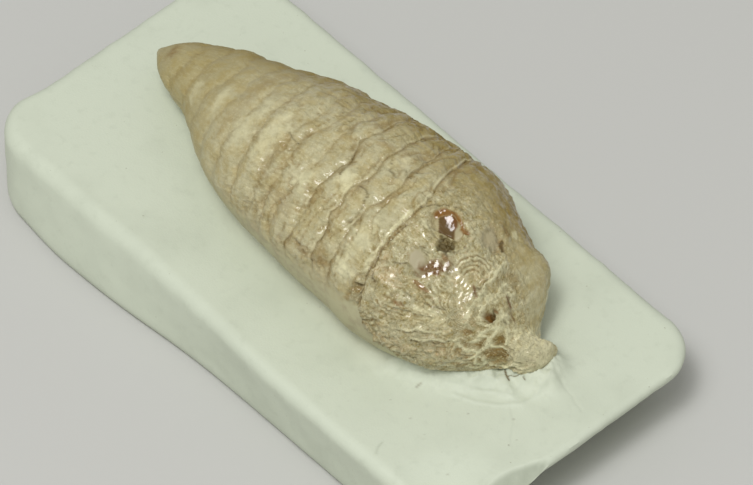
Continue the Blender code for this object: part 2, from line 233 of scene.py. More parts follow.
def smoothstep(value):
    value = np.clip(value, 0.0, 1.0)
    return value * value * (3.0 - 2.0 * value)


def ramp(value, start, reach):
    """0 up to start, then smoothly up to 1 over the reach."""
    return smoothstep((value - start) / reach)


def fall(value, end, reach):
    """0 from the end on, and smoothly up to 1 over the reach before it."""
    return smoothstep((end - value) / reach)


def bell(value):
    return np.exp(-value * value)


def angle_gap(angle, centre):
    return (angle - centre + 180.0) % 360.0 - 180.0


def path_gap(path, part_gap):
    """Distance from a path, the least of those from its straight parts."""
    return np.min([part_gap(*start, *end) for start, end in zip(path, path[1:])], axis=0)


def part_gap(along, across, run, rise):
    """Distance from a straight part, by the places' offsets from its start and its own reach."""
    t = np.clip((along * run + across * rise) / (run * run + rise * rise), 0.0, 1.0)
    return np.hypot(along - t * run, across - t * rise)


def curve_through(x, xs, ys):
    """A smooth curve through given points, as cubic pieces with averaged slopes."""
    xs = np.asarray(xs, dtype=float)
    ys = np.asarray(ys, dtype=float)
    chords = np.diff(ys) / np.diff(xs)
    slopes = np.concatenate(([chords[0]], 0.5 * (chords[1:] + chords[:-1]), [chords[-1]]))
    x = np.clip(x, xs[0], xs[-1])
    i = np.clip(np.searchsorted(xs, x) - 1, 0, len(xs) - 2)
    span = xs[i + 1] - xs[i]
    t = (x - xs[i]) / span
    start = (1 + 2 * t) * (1 - t) ** 2 * ys[i] + t * (1 - t) ** 2 * span * slopes[i]
    end = t * t * (3 - 2 * t) * ys[i + 1] + t * t * (t - 1) * span * slopes[i + 1]
    return start + end


def noise_at(points, scale, octaves=1, seed=0.0):
    """Smooth noise about -1 to 1 at each point, with finer octaves added."""
    places = np.asarray(points, dtype=float) * scale + seed
    if octaves == 1:
        return np.array([noise.noise(Vector(p)) for p in places])
    return np.array([noise.fractal(Vector(p), *OCTAVE_FALL, octaves) for p in places])


def ridges_at(points, scale, octaves, seed=0.0):
    """Noise with sharp crests, from about 0 to 1."""
    return 1.0 - np.abs(noise_at(points, scale, octaves, seed))


def read_places(mesh):
    places = np.empty(len(mesh.vertices) * 3)
    mesh.vertices.foreach_get("co", places)
    return places.reshape(-1, 3)


def write_places(mesh, places):
    """Vertices from places in millimetres in the design's frame, kept inside the frame's box."""
    places = np.clip((places + FRAME_SHIFT) * MM, CAD_LOW, CAD_HIGH)
    mesh.vertices.foreach_set("co", places.astype(np.float32).ravel())
    mesh.update()


def write_values(mesh, layers):
    """A value at each vertex for each named layer, for the finish to read."""
    for name, values in layers.items():
        layer = mesh.attributes.new(name, "FLOAT", "POINT")
        layer.data.foreach_set("value", np.asarray(values, dtype=np.float32))


def start_piece():
    """Leave edit mode with nothing selected, so that the next operator works on its own piece."""
    if bpy.context.object and bpy.context.object.mode != "OBJECT":
        bpy.ops.object.mode_set(mode="OBJECT")
    bpy.ops.object.select_all(action="DESELECT")


def finish_piece(piece, name, material, node):
    piece.name = name
    piece.data.name = name
    piece.data.materials.clear()
    piece.data.materials.append(material)
    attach(piece, "root")
    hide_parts(node)


# ------------------------------------------------------------------ shader tools


class Wire:
    """An output socket. Arithmetic on it adds Math nodes to its material."""

    def __init__(self, socket):
        self.socket = socket

    def maths(self, operation, first, second=0.0):
        settings = {"operation": operation}
        return add_node(self.socket.id_data, "ShaderNodeMath", settings, {0: first, 1: second})

    def __add__(self, other):
        return self.maths("ADD", self, other)

    def __sub__(self, other):
        return self.maths("SUBTRACT", self, other)

    def __rsub__(self, other):
        return self.maths("SUBTRACT", other, self)

    def __mul__(self, other):
        return self.maths("MULTIPLY", self, other)

    def __pow__(self, other):
        return self.maths("POWER", self, other)

    __radd__ = __add__
    __rmul__ = __mul__

    def between(self, low, high):
        """0 below low, 1 above high and smooth in between."""
        settings = {"interpolation_type": "SMOOTHSTEP"}
        return add_node(self.socket.id_data, "ShaderNodeMapRange", settings,
                        {"Value": self, "From Min": low, "From Max": high})


def add_node(tree, kind, settings, sockets, output=0):
    """A node with its settings made first, then the values or links of its sockets."""
    node = tree.nodes.new(kind)
    for key, value in settings.items():
        setattr(node, key, value)
    for key, value in sockets.items():
        if isinstance(value, Wire):
            tree.links.new(value.socket, node.inputs[key])
        else:
            node.inputs[key].default_value = value
    return Wire(node.outputs[output])


class Finish:
    """A material in the making."""

    def __init__(self, name):
        self.material = bpy.data.materials.new(name)
        self.material.use_nodes = True
        self.tree = self.material.node_tree
        self.shader = self.tree.nodes["Principled BSDF"]

    def node(self, kind, settings, sockets, output=0):
        return add_node(self.tree, kind, settings, sockets, output)

    def value(self, name):
        return self.node("ShaderNodeAttribute", {"attribute_name": name}, {}, 2)

    def vector(self, name):
        return self.node("ShaderNodeAttribute", {"attribute_name": name}, {}, 1)

    def millimetres(self):
        place = self.node("ShaderNodeTexCoord", {}, {}, 3)
        return self.stretch(place, (1 / MM, 1 / MM, 1 / MM))

    def stretch(self, vector, scale):
        return self.node("ShaderNodeMapping", {}, {"Vector": vector, "Scale": scale})

    def noise(self, vector, scale, detail=2.0, roughness=0.5, distortion=0.0):
        return self.node("ShaderNodeTexNoise", {}, {
            "Vector": vector, "Scale": scale, "Detail": detail, "Roughness": roughness,
            "Distortion": distortion})

    def mix(self, first, second, share):
        """A blend of two colours."""
        colours = [c if isinstance(c, Wire) else (*c, 1.0) for c in (first, second)]
        settings = {"data_type": "RGBA", "clamp_factor": True}
        return self.node("ShaderNodeMix", settings, {0: share, 6: colours[0], 7: colours[1]}, 2)

    def layers(self, colour, rows):
        """A colour with others laid over it in turn, each with its share."""
        for other, share in rows:
            colour = self.mix(colour, other, share)
        return colour

    def bump(self, height, distance):
        return self.node("ShaderNodeBump", {}, {"Height": height, "Distance": distance,
                                                "Strength": 1.0})

    def feed(self, sockets):
        """Set or link the shader's sockets."""
        for name, value in sockets.items():
            socket = self.shader.inputs[name]
            if isinstance(value, Wire):
                self.tree.links.new(value.socket, socket)
            else:
                socket.default_value = value


# ------------------------------------------------------------------ coprolite


SEGMENTS = 284
RINGS = 350
DENSE_SIDE = 30.0
CROWDING = 0.52
REFERENCE_ANGLE = 35.0
# How close the rings are: x, rings per millimetre
RING_DENSITY = ((-19.5, 3.5), (-8, 4), (-2, 7), (5, 10), (8.5, 17), (17.8, 17))
LEDGE_RINGS = 7.0
LEDGE_RING_REACH = 0.22

# The skin's edge over the smooth band along the foot, painted olive as the underside's shade and
# greenish bounce light: x, angle on the -Y flank
SKIN_EDGE = (
    (-19.5, 110), (-12, 102), (-6, 92), (2, 86), (6, 82), (9, 76), (9.6, 88), (10.5, 98),
    (11.5, 108), (13, 120), (15, 130), (16, 140), (17.8, 150),
)

# Thin dark cracks: depth, width, then the path as x and angle
CRACKS = (
    (0.08, 0.05, ((12.15, 77), (12.5, 75.5), (12.9, 71), (13.3, 70.5), (13.7, 66.5))),
    (0.06, 0.05, ((12.7, 82), (13.1, 80.5), (13.5, 76), (13.9, 75), (14.3, 69))),
    (0.06, 0.06, ((9.8, 80.5), (10.2, 79), (10.8, 77))),
    (0.06, 0.07, ((10.5, 92), (11.2, 88.5), (11.8, 86))),
    (0.07, 0.07, ((8.75, 20), (8.72, 32), (8.75, 44), (9, 51), (9.5, 56.5))),
    (0.05, 0.05, ((8.4, 7), (8.9, 1.5), (9.4, -3), (10, -8), (10.8, -10))),
    (0.1, 0.07, ((11.1, 17.5), (11.5, 16.5), (11.85, 13), (12, 8.5), (12.15, 4))),
    (0.07, 0.06, ((11.9, 18), (12.3, 17), (12.6, 18.5))),
    (0.07, 0.07, ((13.95, 4), (14, 14), (13.98, 22), (13.9, 31))),
    (0.09, 0.07, ((14.9, -5), (15.15, -1), (15.35, 4), (15.5, 10), (15.45, 20))),
    (0.09, 0.06, ((14.95, 17), (15, 22), (15.05, 28))),
    (0.05, 0.05, ((10.35, 24), (10.6, 22.5), (11, 23.5))),
    (0.06, 0.06, ((9.9, 40), (10.3, 38.5), (10.5, 36))),
    (0.05, 0.05, ((11.3, 51), (12, 51.5), (12.8, 49), (13.5, 45))),
    (0.05, 0.05, ((10.6, 64), (11.4, 63), (12.3, 60.5), (13.2, 56))),
    (0.05, 0.05, ((-2.75, 20), (-2.1, 22), (-1.5, 22))),
    (0.05, 0.06, ((2.1, 7), (2.5, 13), (2.6, 22))),
    (0.05, 0.05, ((4.5, -2), (5, 4), (5.8, 5))),
    (0.06, 0.06, ((4.3, 21), (4.9, 20.5), (5.4, 22), (5.6, 28), (5.5, 40))),
    (0.06, 0.05, ((16, 60), (16.5, 66), (17.1, 68))),
    (0.07, 0.06, ((16.1, 92), (16.5, 97), (17, 96), (17.4, 90))),
)

# Pale raised strands: height, width, then the path as x and angle
STRANDS = (
    (0.06, 0.07, ((12, 75), (12.5, 72.5), (12.9, 68), (13.4, 67.5), (13.9, 62))),
    (0.05, 0.07, ((12.8, 78.5), (13.3, 76.5), (13.7, 71.5), (14.2, 70), (14.6, 62))),
    (0.06, 0.08, ((13.7, -18), (14, -4), (14.2, 12), (14.25, 26), (14.5, 46))),
    (0.05, 0.07, ((14.45, -10), (14.6, 4), (14.5, 16), (14.7, 30), (14.95, 38))),
    (0.05, 0.07, ((15.15, 36), (15.3, 28), (15.25, 18), (15.35, 8))),
    (0.05, 0.06, ((15.4, 14), (15.7, 22), (15.8, 34), (15.6, 50))),
    (0.05, 0.07, ((14.9, -14), (14.75, 2), (14.7, 14))),
    (0.05, 0.07, ((15.2, 10), (15.5, 24), (15.45, 36), (15.1, 48))),
    (0.05, 0.06, ((14.8, 38), (15.1, 37), (15.35, 33))),
    (0.04, 0.06, ((14.9, 55), (15.25, 60), (15.2, 70), (15.05, 80), (15.1, 92))),
    (0.03, 0.1, ((8.2, 12), (8.25, 24), (8.35, 40), (8.5, 55))),
)

# Patches of each mask: x, angle, half length, half width, strength, tilt in degrees if any
PATCHES = {
    "stain": (
        (3.6, 71, 1.2, 0.45, 0.7), (5.2, 69.5, 0.7, 0.5, 0.8), (5.95, 74.5, 0.35, 0.35, 1),
        (0.2, 57, 1.3, 1.1, 0.35, 10), (4.9, 64, 0.6, 0.7, 0.5), (4.55, 21, 0.35, 0.8, 0.6),
        (3.1, -8, 0.9, 0.4, 0.5, -20), (2.1, 4, 0.3, 1, 0.4), (-7.6, 15, 0.7, 4.5, 0.3),
        (-17.3, 20, 0.6, 0.6, 0.8), (8.55, 32, 0.34, 2.2, 0.8), (8.6, 66, 0.45, 0.55, 0.9),
        (9.5, 56, 0.5, 0.25, 0.4, 25), (7.2, -27, 0.5, 0.9, 0.7, -30), (14.4, -20, 0.5, 0.5, 0.4),
        (14.3, -4, 0.3, 0.3, 0.35), (14, 8, 0.35, 0.25, 0.4), (11.9, 44, 0.75, 0.22, 0.5),
        (13.9, 76, 0.6, 0.5, 0.35, -30), (10.7, 80, 0.7, 0.25, 0.4, -10),
        (12.25, -31, 0.5, 0.45, 0.8), (12.88, -23, 0.42, 0.22, 1, 45),
        (12.8, -20.5, 0.55, 0.34, 0.8, 45),
    ),
    "maroon": (
        (11.82, 27, 0.52, 1.3, 1, 18), (13.89, 17.2, 0.15, 0.4, 0.9, -45),
        (11.3, 37.5, 0.35, 0.16, 0.7, 10), (11.58, -1.6, 0.18, 0.13, 1), (14.98, 26, 0.24, 0.4, 1),
        (15.06, -1.6, 0.3, 0.1, 0.9, 20), (15.5, 4, 0.2, 0.09, 0.7, 30),
    ),
    "rosy": (
        (10.2, 48, 0.8, 0.9, 0.7), (9.2, 45, 0.5, 1.2, 0.5), (13.4, 5, 0.5, 0.8, 0.4),
        (11.6, 92, 1.6, 0.7, 0.4), (14.3, 83, 0.9, 0.8, 0.6), (14.4, 40, 0.5, 0.5, 0.4),
        (17, 30, 1.1, 3, 0.3), (12.8, 20.5, 0.4, 0.5, 0.5), (12.4, -18, 0.7, 1, 0.4),
    ),
    "pale": (
        (16.9, 20, 1.3, 3.5, 0.95), (3.2, 22, 0.9, 1.1, 0.6), (0.8, 36, 0.7, 1.1, 0.5),
        (-3.6, 30, 1, 2.6, 0.45), (-5.9, 30, 0.8, 2.8, 0.4), (7.1, 42, 0.9, 1.9, 0.35),
        (7, 62, 1.1, 0.9, 0.55), (5, -5, 0.7, 1, 0.45), (13, 56, 1, 0.7, 0.45),
        (12.45, -41, 0.35, 0.5, 0.6), (-9.6, 30, 0.5, 1.5, 0.4), (-12.5, 45, 0.6, 1.2, 0.4),
        (9.7, 11, 0.5, 0.5, 0.6, 25),
    ),
    "golden": (
        (14, -60, 1.5, 2.6, 0.3), (15.3, 45, 0.9, 2.4, 0.4),
    ),
    "grey": (
        (11.45, 14.5, 0.22, 0.25, 0.7), (12.35, -14.5, 0.6, 0.8, 0.6), (17, 40, 0.9, 3, 0.35),
    ),
    "smooth": (
        (12.35, -14.5, 0.5, 0.65, 0.7),
    ),
    # Dark patches in the pits and holes: dark brown material with painted shade of the hollows
    "dark": (
        (11.22, 12.8, 0.52, 0.6, 1, -20), (11.42, 9, 0.22, 0.32, 0.6),
        (15.05, 23, 0.14, 0.26, 0.7), (12.95, -22.5, 0.42, 0.2, 0.8, 45),
        (12.42, 22, 0.18, 0.35, 0.5), (8.85, 68, 0.1, 0.35, 0.9), (8.45, 64, 0.16, 0.2, 0.5),
    ),
    "amber": (
        (11.5, -1.9, 0.26, 0.16, 0.8), (11.8, 41.9, 0.55, 0.18, 0.75, 4),
        (11.4, 59.3, 0.36, 0.16, 0.65, -10), (11.75, 18.5, 0.25, 0.15, 0.6, 30),
        (14.95, 28, 0.14, 0.2, 0.8), (15.02, 16.5, 0.1, 0.14, 0.7),
    ),
    "gloss": (
        (11.78, 28, 0.64, 1.4, 1, 18), (13.74, 25, 0.46, 0.75, 1), (13.2, 21.5, 0.26, 0.5, 0.9),
        (12.75, 19, 0.3, 0.35, 0.7), (13.6, 9.5, 0.16, 0.35, 0.7), (11.02, 20.3, 0.16, 0.2, 0.9),
        (10.05, 17.8, 0.22, 0.3, 0.7), (10.4, 48.5, 0.45, 0.45, 0.28),
        (14.25, 36, 0.22, 0.35, 0.9), (14.05, 58, 0.25, 0.3, 0.8), (6.05, 50, 0.4, 0.3, 0.8),
        (11.95, 41.3, 0.5, 0.22, 0.9), (1.4, 53, 0.35, 0.3, 0.6), (3.1, 45, 0.35, 0.3, 0.5),
        (14.3, 38, 0.3, 0.35, 0.6),
    ),
}

# How ragged the rims of a mask's patches are and how soft
USUAL_RIM = (0.55, 0.8)
PATCH_RIMS = {"grey": (0.12, 0.35), "amber": (0.12, 0.35), "dark": (0.55, 0.35)}
# How far out ovals and the raised rims of the pits are, in units of their half sizes
OVAL_REACH = 1.15
PIT_RIM = 0.05

# The large scale in its pit: centre's x and angle, half length and half width, tilt
SCALE = (10.46, 3.7, 1.28, 1.08, 0)
# The smooth grey fragment: the same
PLATE = (10.88, 31.3, 0.88, 0.6, 50)

# Thin laminae curled under the ridge, as x and angle
LAMINAE = (
    ((12.51, 17.8), (12.46, 12.3), (12.58, 7.1), (12.83, 0.5), (13.2, -3.2), (13.59, -4.4),
     (13.73, -1.4)),
    ((12.69, 17.8), (12.7, 12.3), (12.81, 7.1), (13.05, 2.2), (13.33, -1.5), (13.63, -0.7)),
    ((12.86, 17.2), (12.86, 11.6), (12.98, 7.1), (13.26, 3.7), (13.53, 1.8), (13.63, 4.5)),
    ((13.05, 15.8), (13.08, 11.6), (13.2, 7.8), (13.47, 6.8)),
)
LAMINA_WIDTH = 0.055
LAMINA_HEIGHT = 0.03
RIB_SPACING = 0.42
RIB_HEIGHT = 0.03
# Small glossy facets: how many to a millimetre, the way they mostly face and how much that varies,
# with the seed of that chance
FACETS = 2.1
FACET_SIDE = np.array((0.345, -0.426, 0.838))
FACET_LEAN = 0.60
FACET_SCATTER = 0.13
FACET_SEED = 1795472321
FACET_SMOOTHING = 14

# Netting over the nose's -Y side: centre's x and angle, half length and half width
NET_AREA = (15.45, 80, 0.8, 2.1)
# Its pale strands: width, then the path as x and angle
NETTING = (
    (0.08, ((15, 62.3), (15.14, 57), (15.14, 52.1), (15.28, 48.4), (15.41, 51.5), (15.45, 58.1),
            (15.45, 64.3), (15.35, 72), (15.26, 84.2))),
    (0.06, ((14.75, 70), (14.91, 73), (14.99, 77.5), (15.09, 73), (15.26, 74), (15.26, 84.2),
            (15.12, 90.3))),
    (0.08, ((15.45, 64.3), (15.52, 59), (15.63, 61.9), (15.9, 55.7), (16.02, 58.9),
            (16.18, 56.9))),
    (0.06, ((15.26, 84.2), (15.27, 100.9), (15.33, 114), (15.42, 108.3), (15.67, 110.6),
            (15.88, 116.7), (16.09, 118.2))),
    (0.05, ((15.26, 84.2), (15.39, 82), (15.48, 87), (15.42, 108.3))),
    (0.09, ((16.09, 119.7), (16.62, 83.3), (16.86, 64.4), (16.85, 52.4), (16.71, 42.5))),
    (0.08, ((15.64, 24.8), (15.83, 34.6), (15.96, 47.8))),
    (0.06, ((14.89, 108), (15.01, 112.8), (15.15, 120.1), (15.29, 117))),
    (0.06, ((15.14, 52.1), (15.18, 42.1), (15.31, 35.2), (15.48, 26.7))),
    (0.06, ((15.41, 51.5), (15.43, 44.3), (15.41, 33.4), (15.41, 29.7))),
)
# Its brown hollows: x, angle, half length, half width
NET_CELLS = (
    (15.28, 60.4, 0.17, 0.45), (15.62, 75, 0.22, 0.6), (15.88, 72, 0.22, 0.55),
    (15.4, 93.1, 0.13, 0.35), (15.7, 118.2, 0.38, 0.16), (15.17, 87.8, 0.08, 0.2),
    (15.01, 86.9, 0.14, 0.14), (15.74, 43.1, 0.15, 0.32), (14.71, 53.5, 0.18, 0.25),
    (16.25, 80, 0.25, 0.4),
)
NET_CELL_DEPTH = 0.06
NET_HEIGHT = 0.10
MASKS = ("groove", "stain", "golden", "pale", "rosy", "grey", "maroon", "amber", "dark", "gloss",
         "olive", "smooth", "calm")


def station(x):
    rows = np.array(BODY_STATIONS)
    half_width = np.maximum(curve_through(x, rows[:, 0], rows[:, 1]), 0.05)
    centre_y = curve_through(x, rows[:, 0], rows[:, 2])
    centre_z = curve_through(x, rows[:, 0], rows[:, 3])
    return half_width, centre_y, centre_z


def body_points(x, angle, relief):
    """Points on the coprolite at x and angle, raised by relief, in millimetres."""
    half_width, centre_y, centre_z = station(x)
    turn = np.radians(angle)
    out = np.maximum(half_width + relief, 0.02)
    y = centre_y - out * np.sin(turn)
    z = BLOCK_HEIGHT + centre_z + FLATTENING * out * np.cos(turn)
    return np.stack((x, y, z), axis=1)


def round_noise(ledge, angles, radius, shift):
    """Noise round the body for one ledge that closes on itself."""
    turns = np.radians(angles)
    places = np.stack((radius * np.cos(turns), radius * np.sin(turns),
                       np.full(len(turns), ledge[1] + shift)), axis=1)
    return noise_at(places, 1.0)


def ledge_line(ledge, angles):
    """Where a ledge crosses each angle, eased round the whole body."""
    right, top, left = ledge[:3]
    stops = np.array(LEDGE_ANGLES + (LEDGE_ANGLES[0] + 360.0,))
    values = np.array((right, top, left, 0.5 * (right + left), right))
    turned = (angles - stops[0]) % 360.0 + stops[0]
    i = np.clip(np.searchsorted(stops, turned, side="right") - 1, 0, 3)
    ease = ramp(turned, stops[i], stops[i + 1] - stops[i])
    wander = LEDGE_WANDER * round_noise(ledge, angles, LEDGE_WANDER_RADIUS, 0.37)
    crinkle = LEDGE_CRINKLE * LEDGE_WANDER * (
        round_noise(ledge, angles, LEDGE_CRINKLE_SCALE * 7.0, 3.1)
        + 0.5 * round_noise(ledge, angles, LEDGE_CRINKLE_SCALE * 16.0, 5.3))
    return values[i] + (values[i + 1] - values[i]) * ease + wander + crinkle


class Skin:
    """The coprolite's skin, as an x and an angle for each vertex of a sphere laid along +Z."""

    def __init__(self, sphere):
        turn = np.arctan2(sphere[:, 1], sphere[:, 0])
        self.column = np.rint(turn / (2 * math.pi) * SEGMENTS).astype(int) % SEGMENTS
        polar = np.arctan2(np.hypot(sphere[:, 0], sphere[:, 1]), -sphere[:, 2])
        self.ring = np.rint(polar / math.pi * RINGS).astype(int)
        even = np.arange(SEGMENTS) * 360.0 / SEGMENTS - 90.0
        crowd = np.degrees(CROWDING * np.sin(np.radians(even - DENSE_SIDE)))
        angles = angle_gap(even - crowd, 0.0)
        self.lay_rings(angles)
        self.angle = angles[self.column]
        self.half_width = station(self.x)[0]
        self.round = np.radians(1.0) * self.half_width
        self.arc = self.angle * self.round
        self.plain = body_points(self.x, self.angle, 0.0)
        self.ragged = noise_at(self.plain, 2.3, 3, 4.0)
        self.masks = {name: np.zeros(len(self.x)) for name in MASKS}
        self.relief = np.zeros(len(self.x))
        self.shown = 1.0 - ramp(np.abs(self.angle), *BELLY_FADE)
        self.shown *= np.minimum(self.half_width / SLENDER, 1.0)

    def lay_rings(self, angles):
        """Give each vertex its x, with the rings following the ledges and crowding at them."""
        tail, nose = BODY_STATIONS[0][0], BODY_STATIONS[-1][0]
        lines = [ledge_line(ledge, angles) for ledge in LEDGES]
        lines = np.array([np.full(SEGMENTS, tail), *lines, np.full(SEGMENTS, nose)])
        reference = lines[:, int(np.argmin(np.abs(angles - REFERENCE_ANGLE)))]
        fine = np.linspace(tail, nose, 6000)
        xs, rates = zip(*RING_DENSITY)
        rate = np.interp(fine, xs, rates)
        for line in reference[1:-1]:
            rate = rate + LEDGE_RINGS * bell((fine - line) / LEDGE_RING_REACH)
        half_width, _, centre_z = station(fine)
        climb = np.gradient(centre_z + FLATTENING * half_width, fine)
        rate = rate * np.hypot(1.0, climb)
        travelled = np.concatenate(([0.0], np.cumsum(0.5 * (rate[1:] + rate[:-1]))))
        places = np.interp(np.linspace(0.0, travelled[-1], RINGS + 1), travelled, fine)
        whorl = np.clip(np.searchsorted(reference, places, side="right") - 1, 0, len(LEDGES))
        share = (places - reference[whorl]) / (reference[whorl + 1] - reference[whorl])
        self.whorl = whorl[self.ring]
        self.share = share[self.ring]
        self.start = lines[self.whorl, self.column]
        self.end = lines[self.whorl + 1, self.column]
        self.x = self.start + (self.end - self.start) * self.share

    def add(self, mask, amount):
        """Lay an amount over a mask, so that it grows towards 1."""
        self.masks[mask] = 1.0 - (1.0 - self.masks[mask]) * (1.0 - np.clip(amount, 0.0, 1.0))

    def local(self, x, angle, tilt=0.0):
        """Millimetres along and across from a place on the skin, turned by a tilt."""
        along = self.x - x
        around = angle_gap(self.angle, angle) * self.round
        turn = math.radians(tilt)
        return (along * math.cos(turn) + around * math.sin(turn),
                around * math.cos(turn) - along * math.sin(turn))

    def oval(self, x, angle, half_length, half_width, tilt=0.0, stray=0.25):
        """Distance from a place in units of an oval's half sizes, 1 on its ragged rim."""
        first, second = self.local(x, angle, tilt)
        return np.hypot(first / half_length, second / half_width) + stray * self.ragged

    def path_gap(self, path, stray=0.10):
        """Distance in millimetres from a path on the skin, with a little stray."""
        x = self.x + stray * self.ragged
        return path_gap(path, lambda x0, a0, x1, a1: part_gap(
            x - x0, angle_gap(self.angle, a0) * self.round, x1 - x0, (a1 - a0) * self.round))

    def clear(self, share, *names):
        """Take a share away from some of the masks."""
        for name in names:
            self.masks[name] = self.masks[name] * (1.0 - share)

    def lap_whorls(self):
        """Ledges: a crisp edge, a groove past it painted partly as shade, a swell between two and a
        lip painted partly as light.
        """
        count = len(LEDGES)
        angles = np.zeros(SEGMENTS)
        angles[self.column] = self.angle
        uneven = np.array([
            1.0 + LEDGE_UNEVENNESS * round_noise(ledge, angles, LEDGE_WANDER_RADIUS, 9.1)
            for ledge in LEDGES])
        worn = np.array([0.75 + 0.9 * round_noise(ledge, angles, 9.0, 2.7) for ledge in LEDGES])
        flank = 1.0 + 0.5 * bell(angle_gap(self.angle, 68.0) / 22.0)
        steps, darks, crisps = np.array([ledge[3:] for ledge in LEDGES]).T
        behind = self.whorl - 1
        has_behind, has_ahead = behind >= 0, self.whorl < count
        behind, ahead = np.maximum(behind, 0), np.minimum(self.whorl, count - 1)
        past, short = self.x - self.start, self.end - self.x
        nearest = np.where((past < short) & has_behind | ~has_ahead, behind, ahead)
        gap = np.minimum(np.where(has_behind, past, FAR), np.where(has_ahead, short, FAR))
        rises = flank * np.clip(uneven[nearest, self.column], 0.2, 2.0)
        step = steps[behind] * rises * has_behind
        self.relief -= step * LEDGE_GROOVE * crisps[behind] * bell(past / 0.12)
        self.relief -= steps[nearest] * rises * LEDGE_DIP * bell(gap / (0.30 + 0.12 * self.ragged))
        self.relief += LEDGE_LIP * steps[ahead] * bell((short - 0.5) / 0.40) * has_ahead
        length = self.end - self.start
        swell = SWELL * length * np.sin(math.pi * np.clip(self.share, 0.0, 1.0))
        self.relief += swell * has_behind * has_ahead
        kept = np.clip(worn[nearest, self.column], 0.0, 1.3)
        self.add("stain", 0.35 * darks[nearest] * kept * bell(gap / (0.20 + 0.16 * self.ragged)))
        glow = bell((past - 0.12) / (0.26 + 0.20 * self.ragged))
        self.add("stain", 0.7 * (darks[behind] * kept * has_behind * glow))
        # Dark groove line past the step: dark colour with painted shade
        core = darks[behind] * crisps[behind] * np.clip(worn[behind, self.column], 0.25, 1.3)
        self.add("groove", 0.85 * core * has_behind * bell(past / 0.09))
        # Pale lip before the step: pale colour with painted light on its lit edge
        lip = darks[ahead] * crisps[ahead] * np.clip(worn[ahead, self.column], 0.1, 1.0)
        self.add("pale", 0.6 * lip * has_ahead * bell((short - 0.07) / 0.07))

    def swell_head(self):
        for place, turn, reach, spread, height in HEAD_LUMPS:
            along = (self.x - place) / reach
            around = angle_gap(self.angle, turn) / spread
            self.relief += height * np.exp(-(along * along + around * around))
        xs, turns = zip(*RIDGE_PATH)
        inside = (ramp(self.angle, turns[0] - RIDGE_ENDS, 12.0)
                  * fall(self.angle, turns[-1] + RIDGE_ENDS, 12.0))
        ridge_x = np.interp(self.angle, turns, xs)
        self.relief += RIDGE_HEIGHT * inside * bell((self.x - ridge_x) / RIDGE_WIDTH)

    def add_lumps(self):
        for scale, height in LUMPS:
            self.relief += height * noise_at(self.plain, scale)

    def sink_pits(self):
        for *oval, depth in PITS:
            gap = self.oval(*oval)
            self.relief -= depth * (1.0 - np.clip(gap, 0.0, 1.0) ** 2) ** 0.5
            self.relief += PIT_RIM * bell((gap - OVAL_REACH) / 0.18)

    def lay_patches(self):
        for mask, rows in PATCHES.items():
            stray, edge = PATCH_RIMS.get(mask, USUAL_RIM)
            for x, angle, half_length, half_width, strength, *tilt in rows:
                gap = self.oval(x, angle, half_length, half_width, *tilt, stray=stray)
                self.add(mask, strength * fall(gap, OVAL_REACH, edge))

    def split_and_string(self):
        for depth, width, path in CRACKS:
            line = bell(self.path_gap(path) / width)
            broken = smoothstep(0.8 + 1.2 * self.ragged)
            self.relief -= depth * line * broken
            self.add("groove", 0.9 * line * broken)
        for height, width, path in STRANDS:
            line = bell(self.path_gap(path, 0.16) / width)
            self.relief += height * line
            self.add("pale", 0.8 * line)

    def set_scales(self):
        """The large scale, with an amber arch over a brown band, and the grey plate."""
        x, angle, half_length, half_width, tilt = SCALE
        first, second = self.local(x, angle, tilt)
        radius = np.hypot(first / half_length, second / half_width) + 0.05 * self.ragged
        wisp = 0.22 * noise_at(self.plain, 1.6, 2, 51.0)
        inside = fall(radius, 1.0, 0.18)
        inside *= fall(second + 0.47 * first, 0.70, 0.12)
        dip = np.minimum(second, 0.5) + 0.48
        shell = 0.22 - 0.52 * dip ** 2 - 0.28 * (first + 0.03) ** 2
        shell *= fall(radius, 1.0, 0.4)
        self.relief += inside * (shell + 0.02 * noise_at(self.plain, 2.4, 2, 57.0))
        arch = ramp(radius + wisp, 0.60, 0.12)
        arch *= fall(second + 0.62 * first, 0.10, 0.2) * fall(second, 0.30, 0.2)
        amber = inside * arch
        rest = inside * (1.0 - arch)
        left = rest * ramp(second - first + 0.5 * wisp, 0.72, 0.15)
        pale = rest * ramp(first - 0.5 * (second - wisp), 0.55, 0.15)
        band = rest * (1.0 - pale) * (1.0 - left)
        self.clear(inside, "groove", "grey", "stain", "pale", "golden", "rosy", "dark")
        self.add("amber", amber)
        self.add("maroon", band)
        # The band darkens where it dips towards the hole: its dark colour with painted shade
        self.add("dark", 0.7 * band * ramp(second, -0.30, 0.3))
        self.add("grey", 0.35 * left + 0.7 * pale)
        wet = 0.02 + 0.9 * bell(np.hypot(first / 0.75, (second + 0.15) / 0.42)) + 0.3 * arch
        self.add("gloss", inside * wet * (1.0 - 0.5 * pale))
        self.add("smooth", inside * (0.96 - 0.5 * left))
        self.add("groove", 0.5 * bell((radius - 1.05) / 0.09) * smoothstep(0.3 + second))

        radius = self.oval(*PLATE, stray=0.10)
        plate = fall(radius, 1.0, 0.35)
        self.relief = self.relief + 0.05 * plate
        self.clear(plate, "groove", "stain", "pale", "golden", "gloss")
        self.add("grey", plate)
        self.add("smooth", plate)
        self.add("groove", 0.35 * bell((radius - 1.05) / 0.12))

    def curl_laminae(self):
        for path in LAMINAE:
            gap = self.path_gap(path, 0.04)
            line = bell(gap / LAMINA_WIDTH) * smoothstep(0.9 + self.ragged)
            beside = bell((gap - 2.0 * LAMINA_WIDTH) / LAMINA_WIDTH)
            self.relief += LAMINA_HEIGHT * (beside - line)
            self.add("stain", 0.9 * line)
            self.add("groove", 0.25 * line)
            self.add("pale", 0.35 * beside)

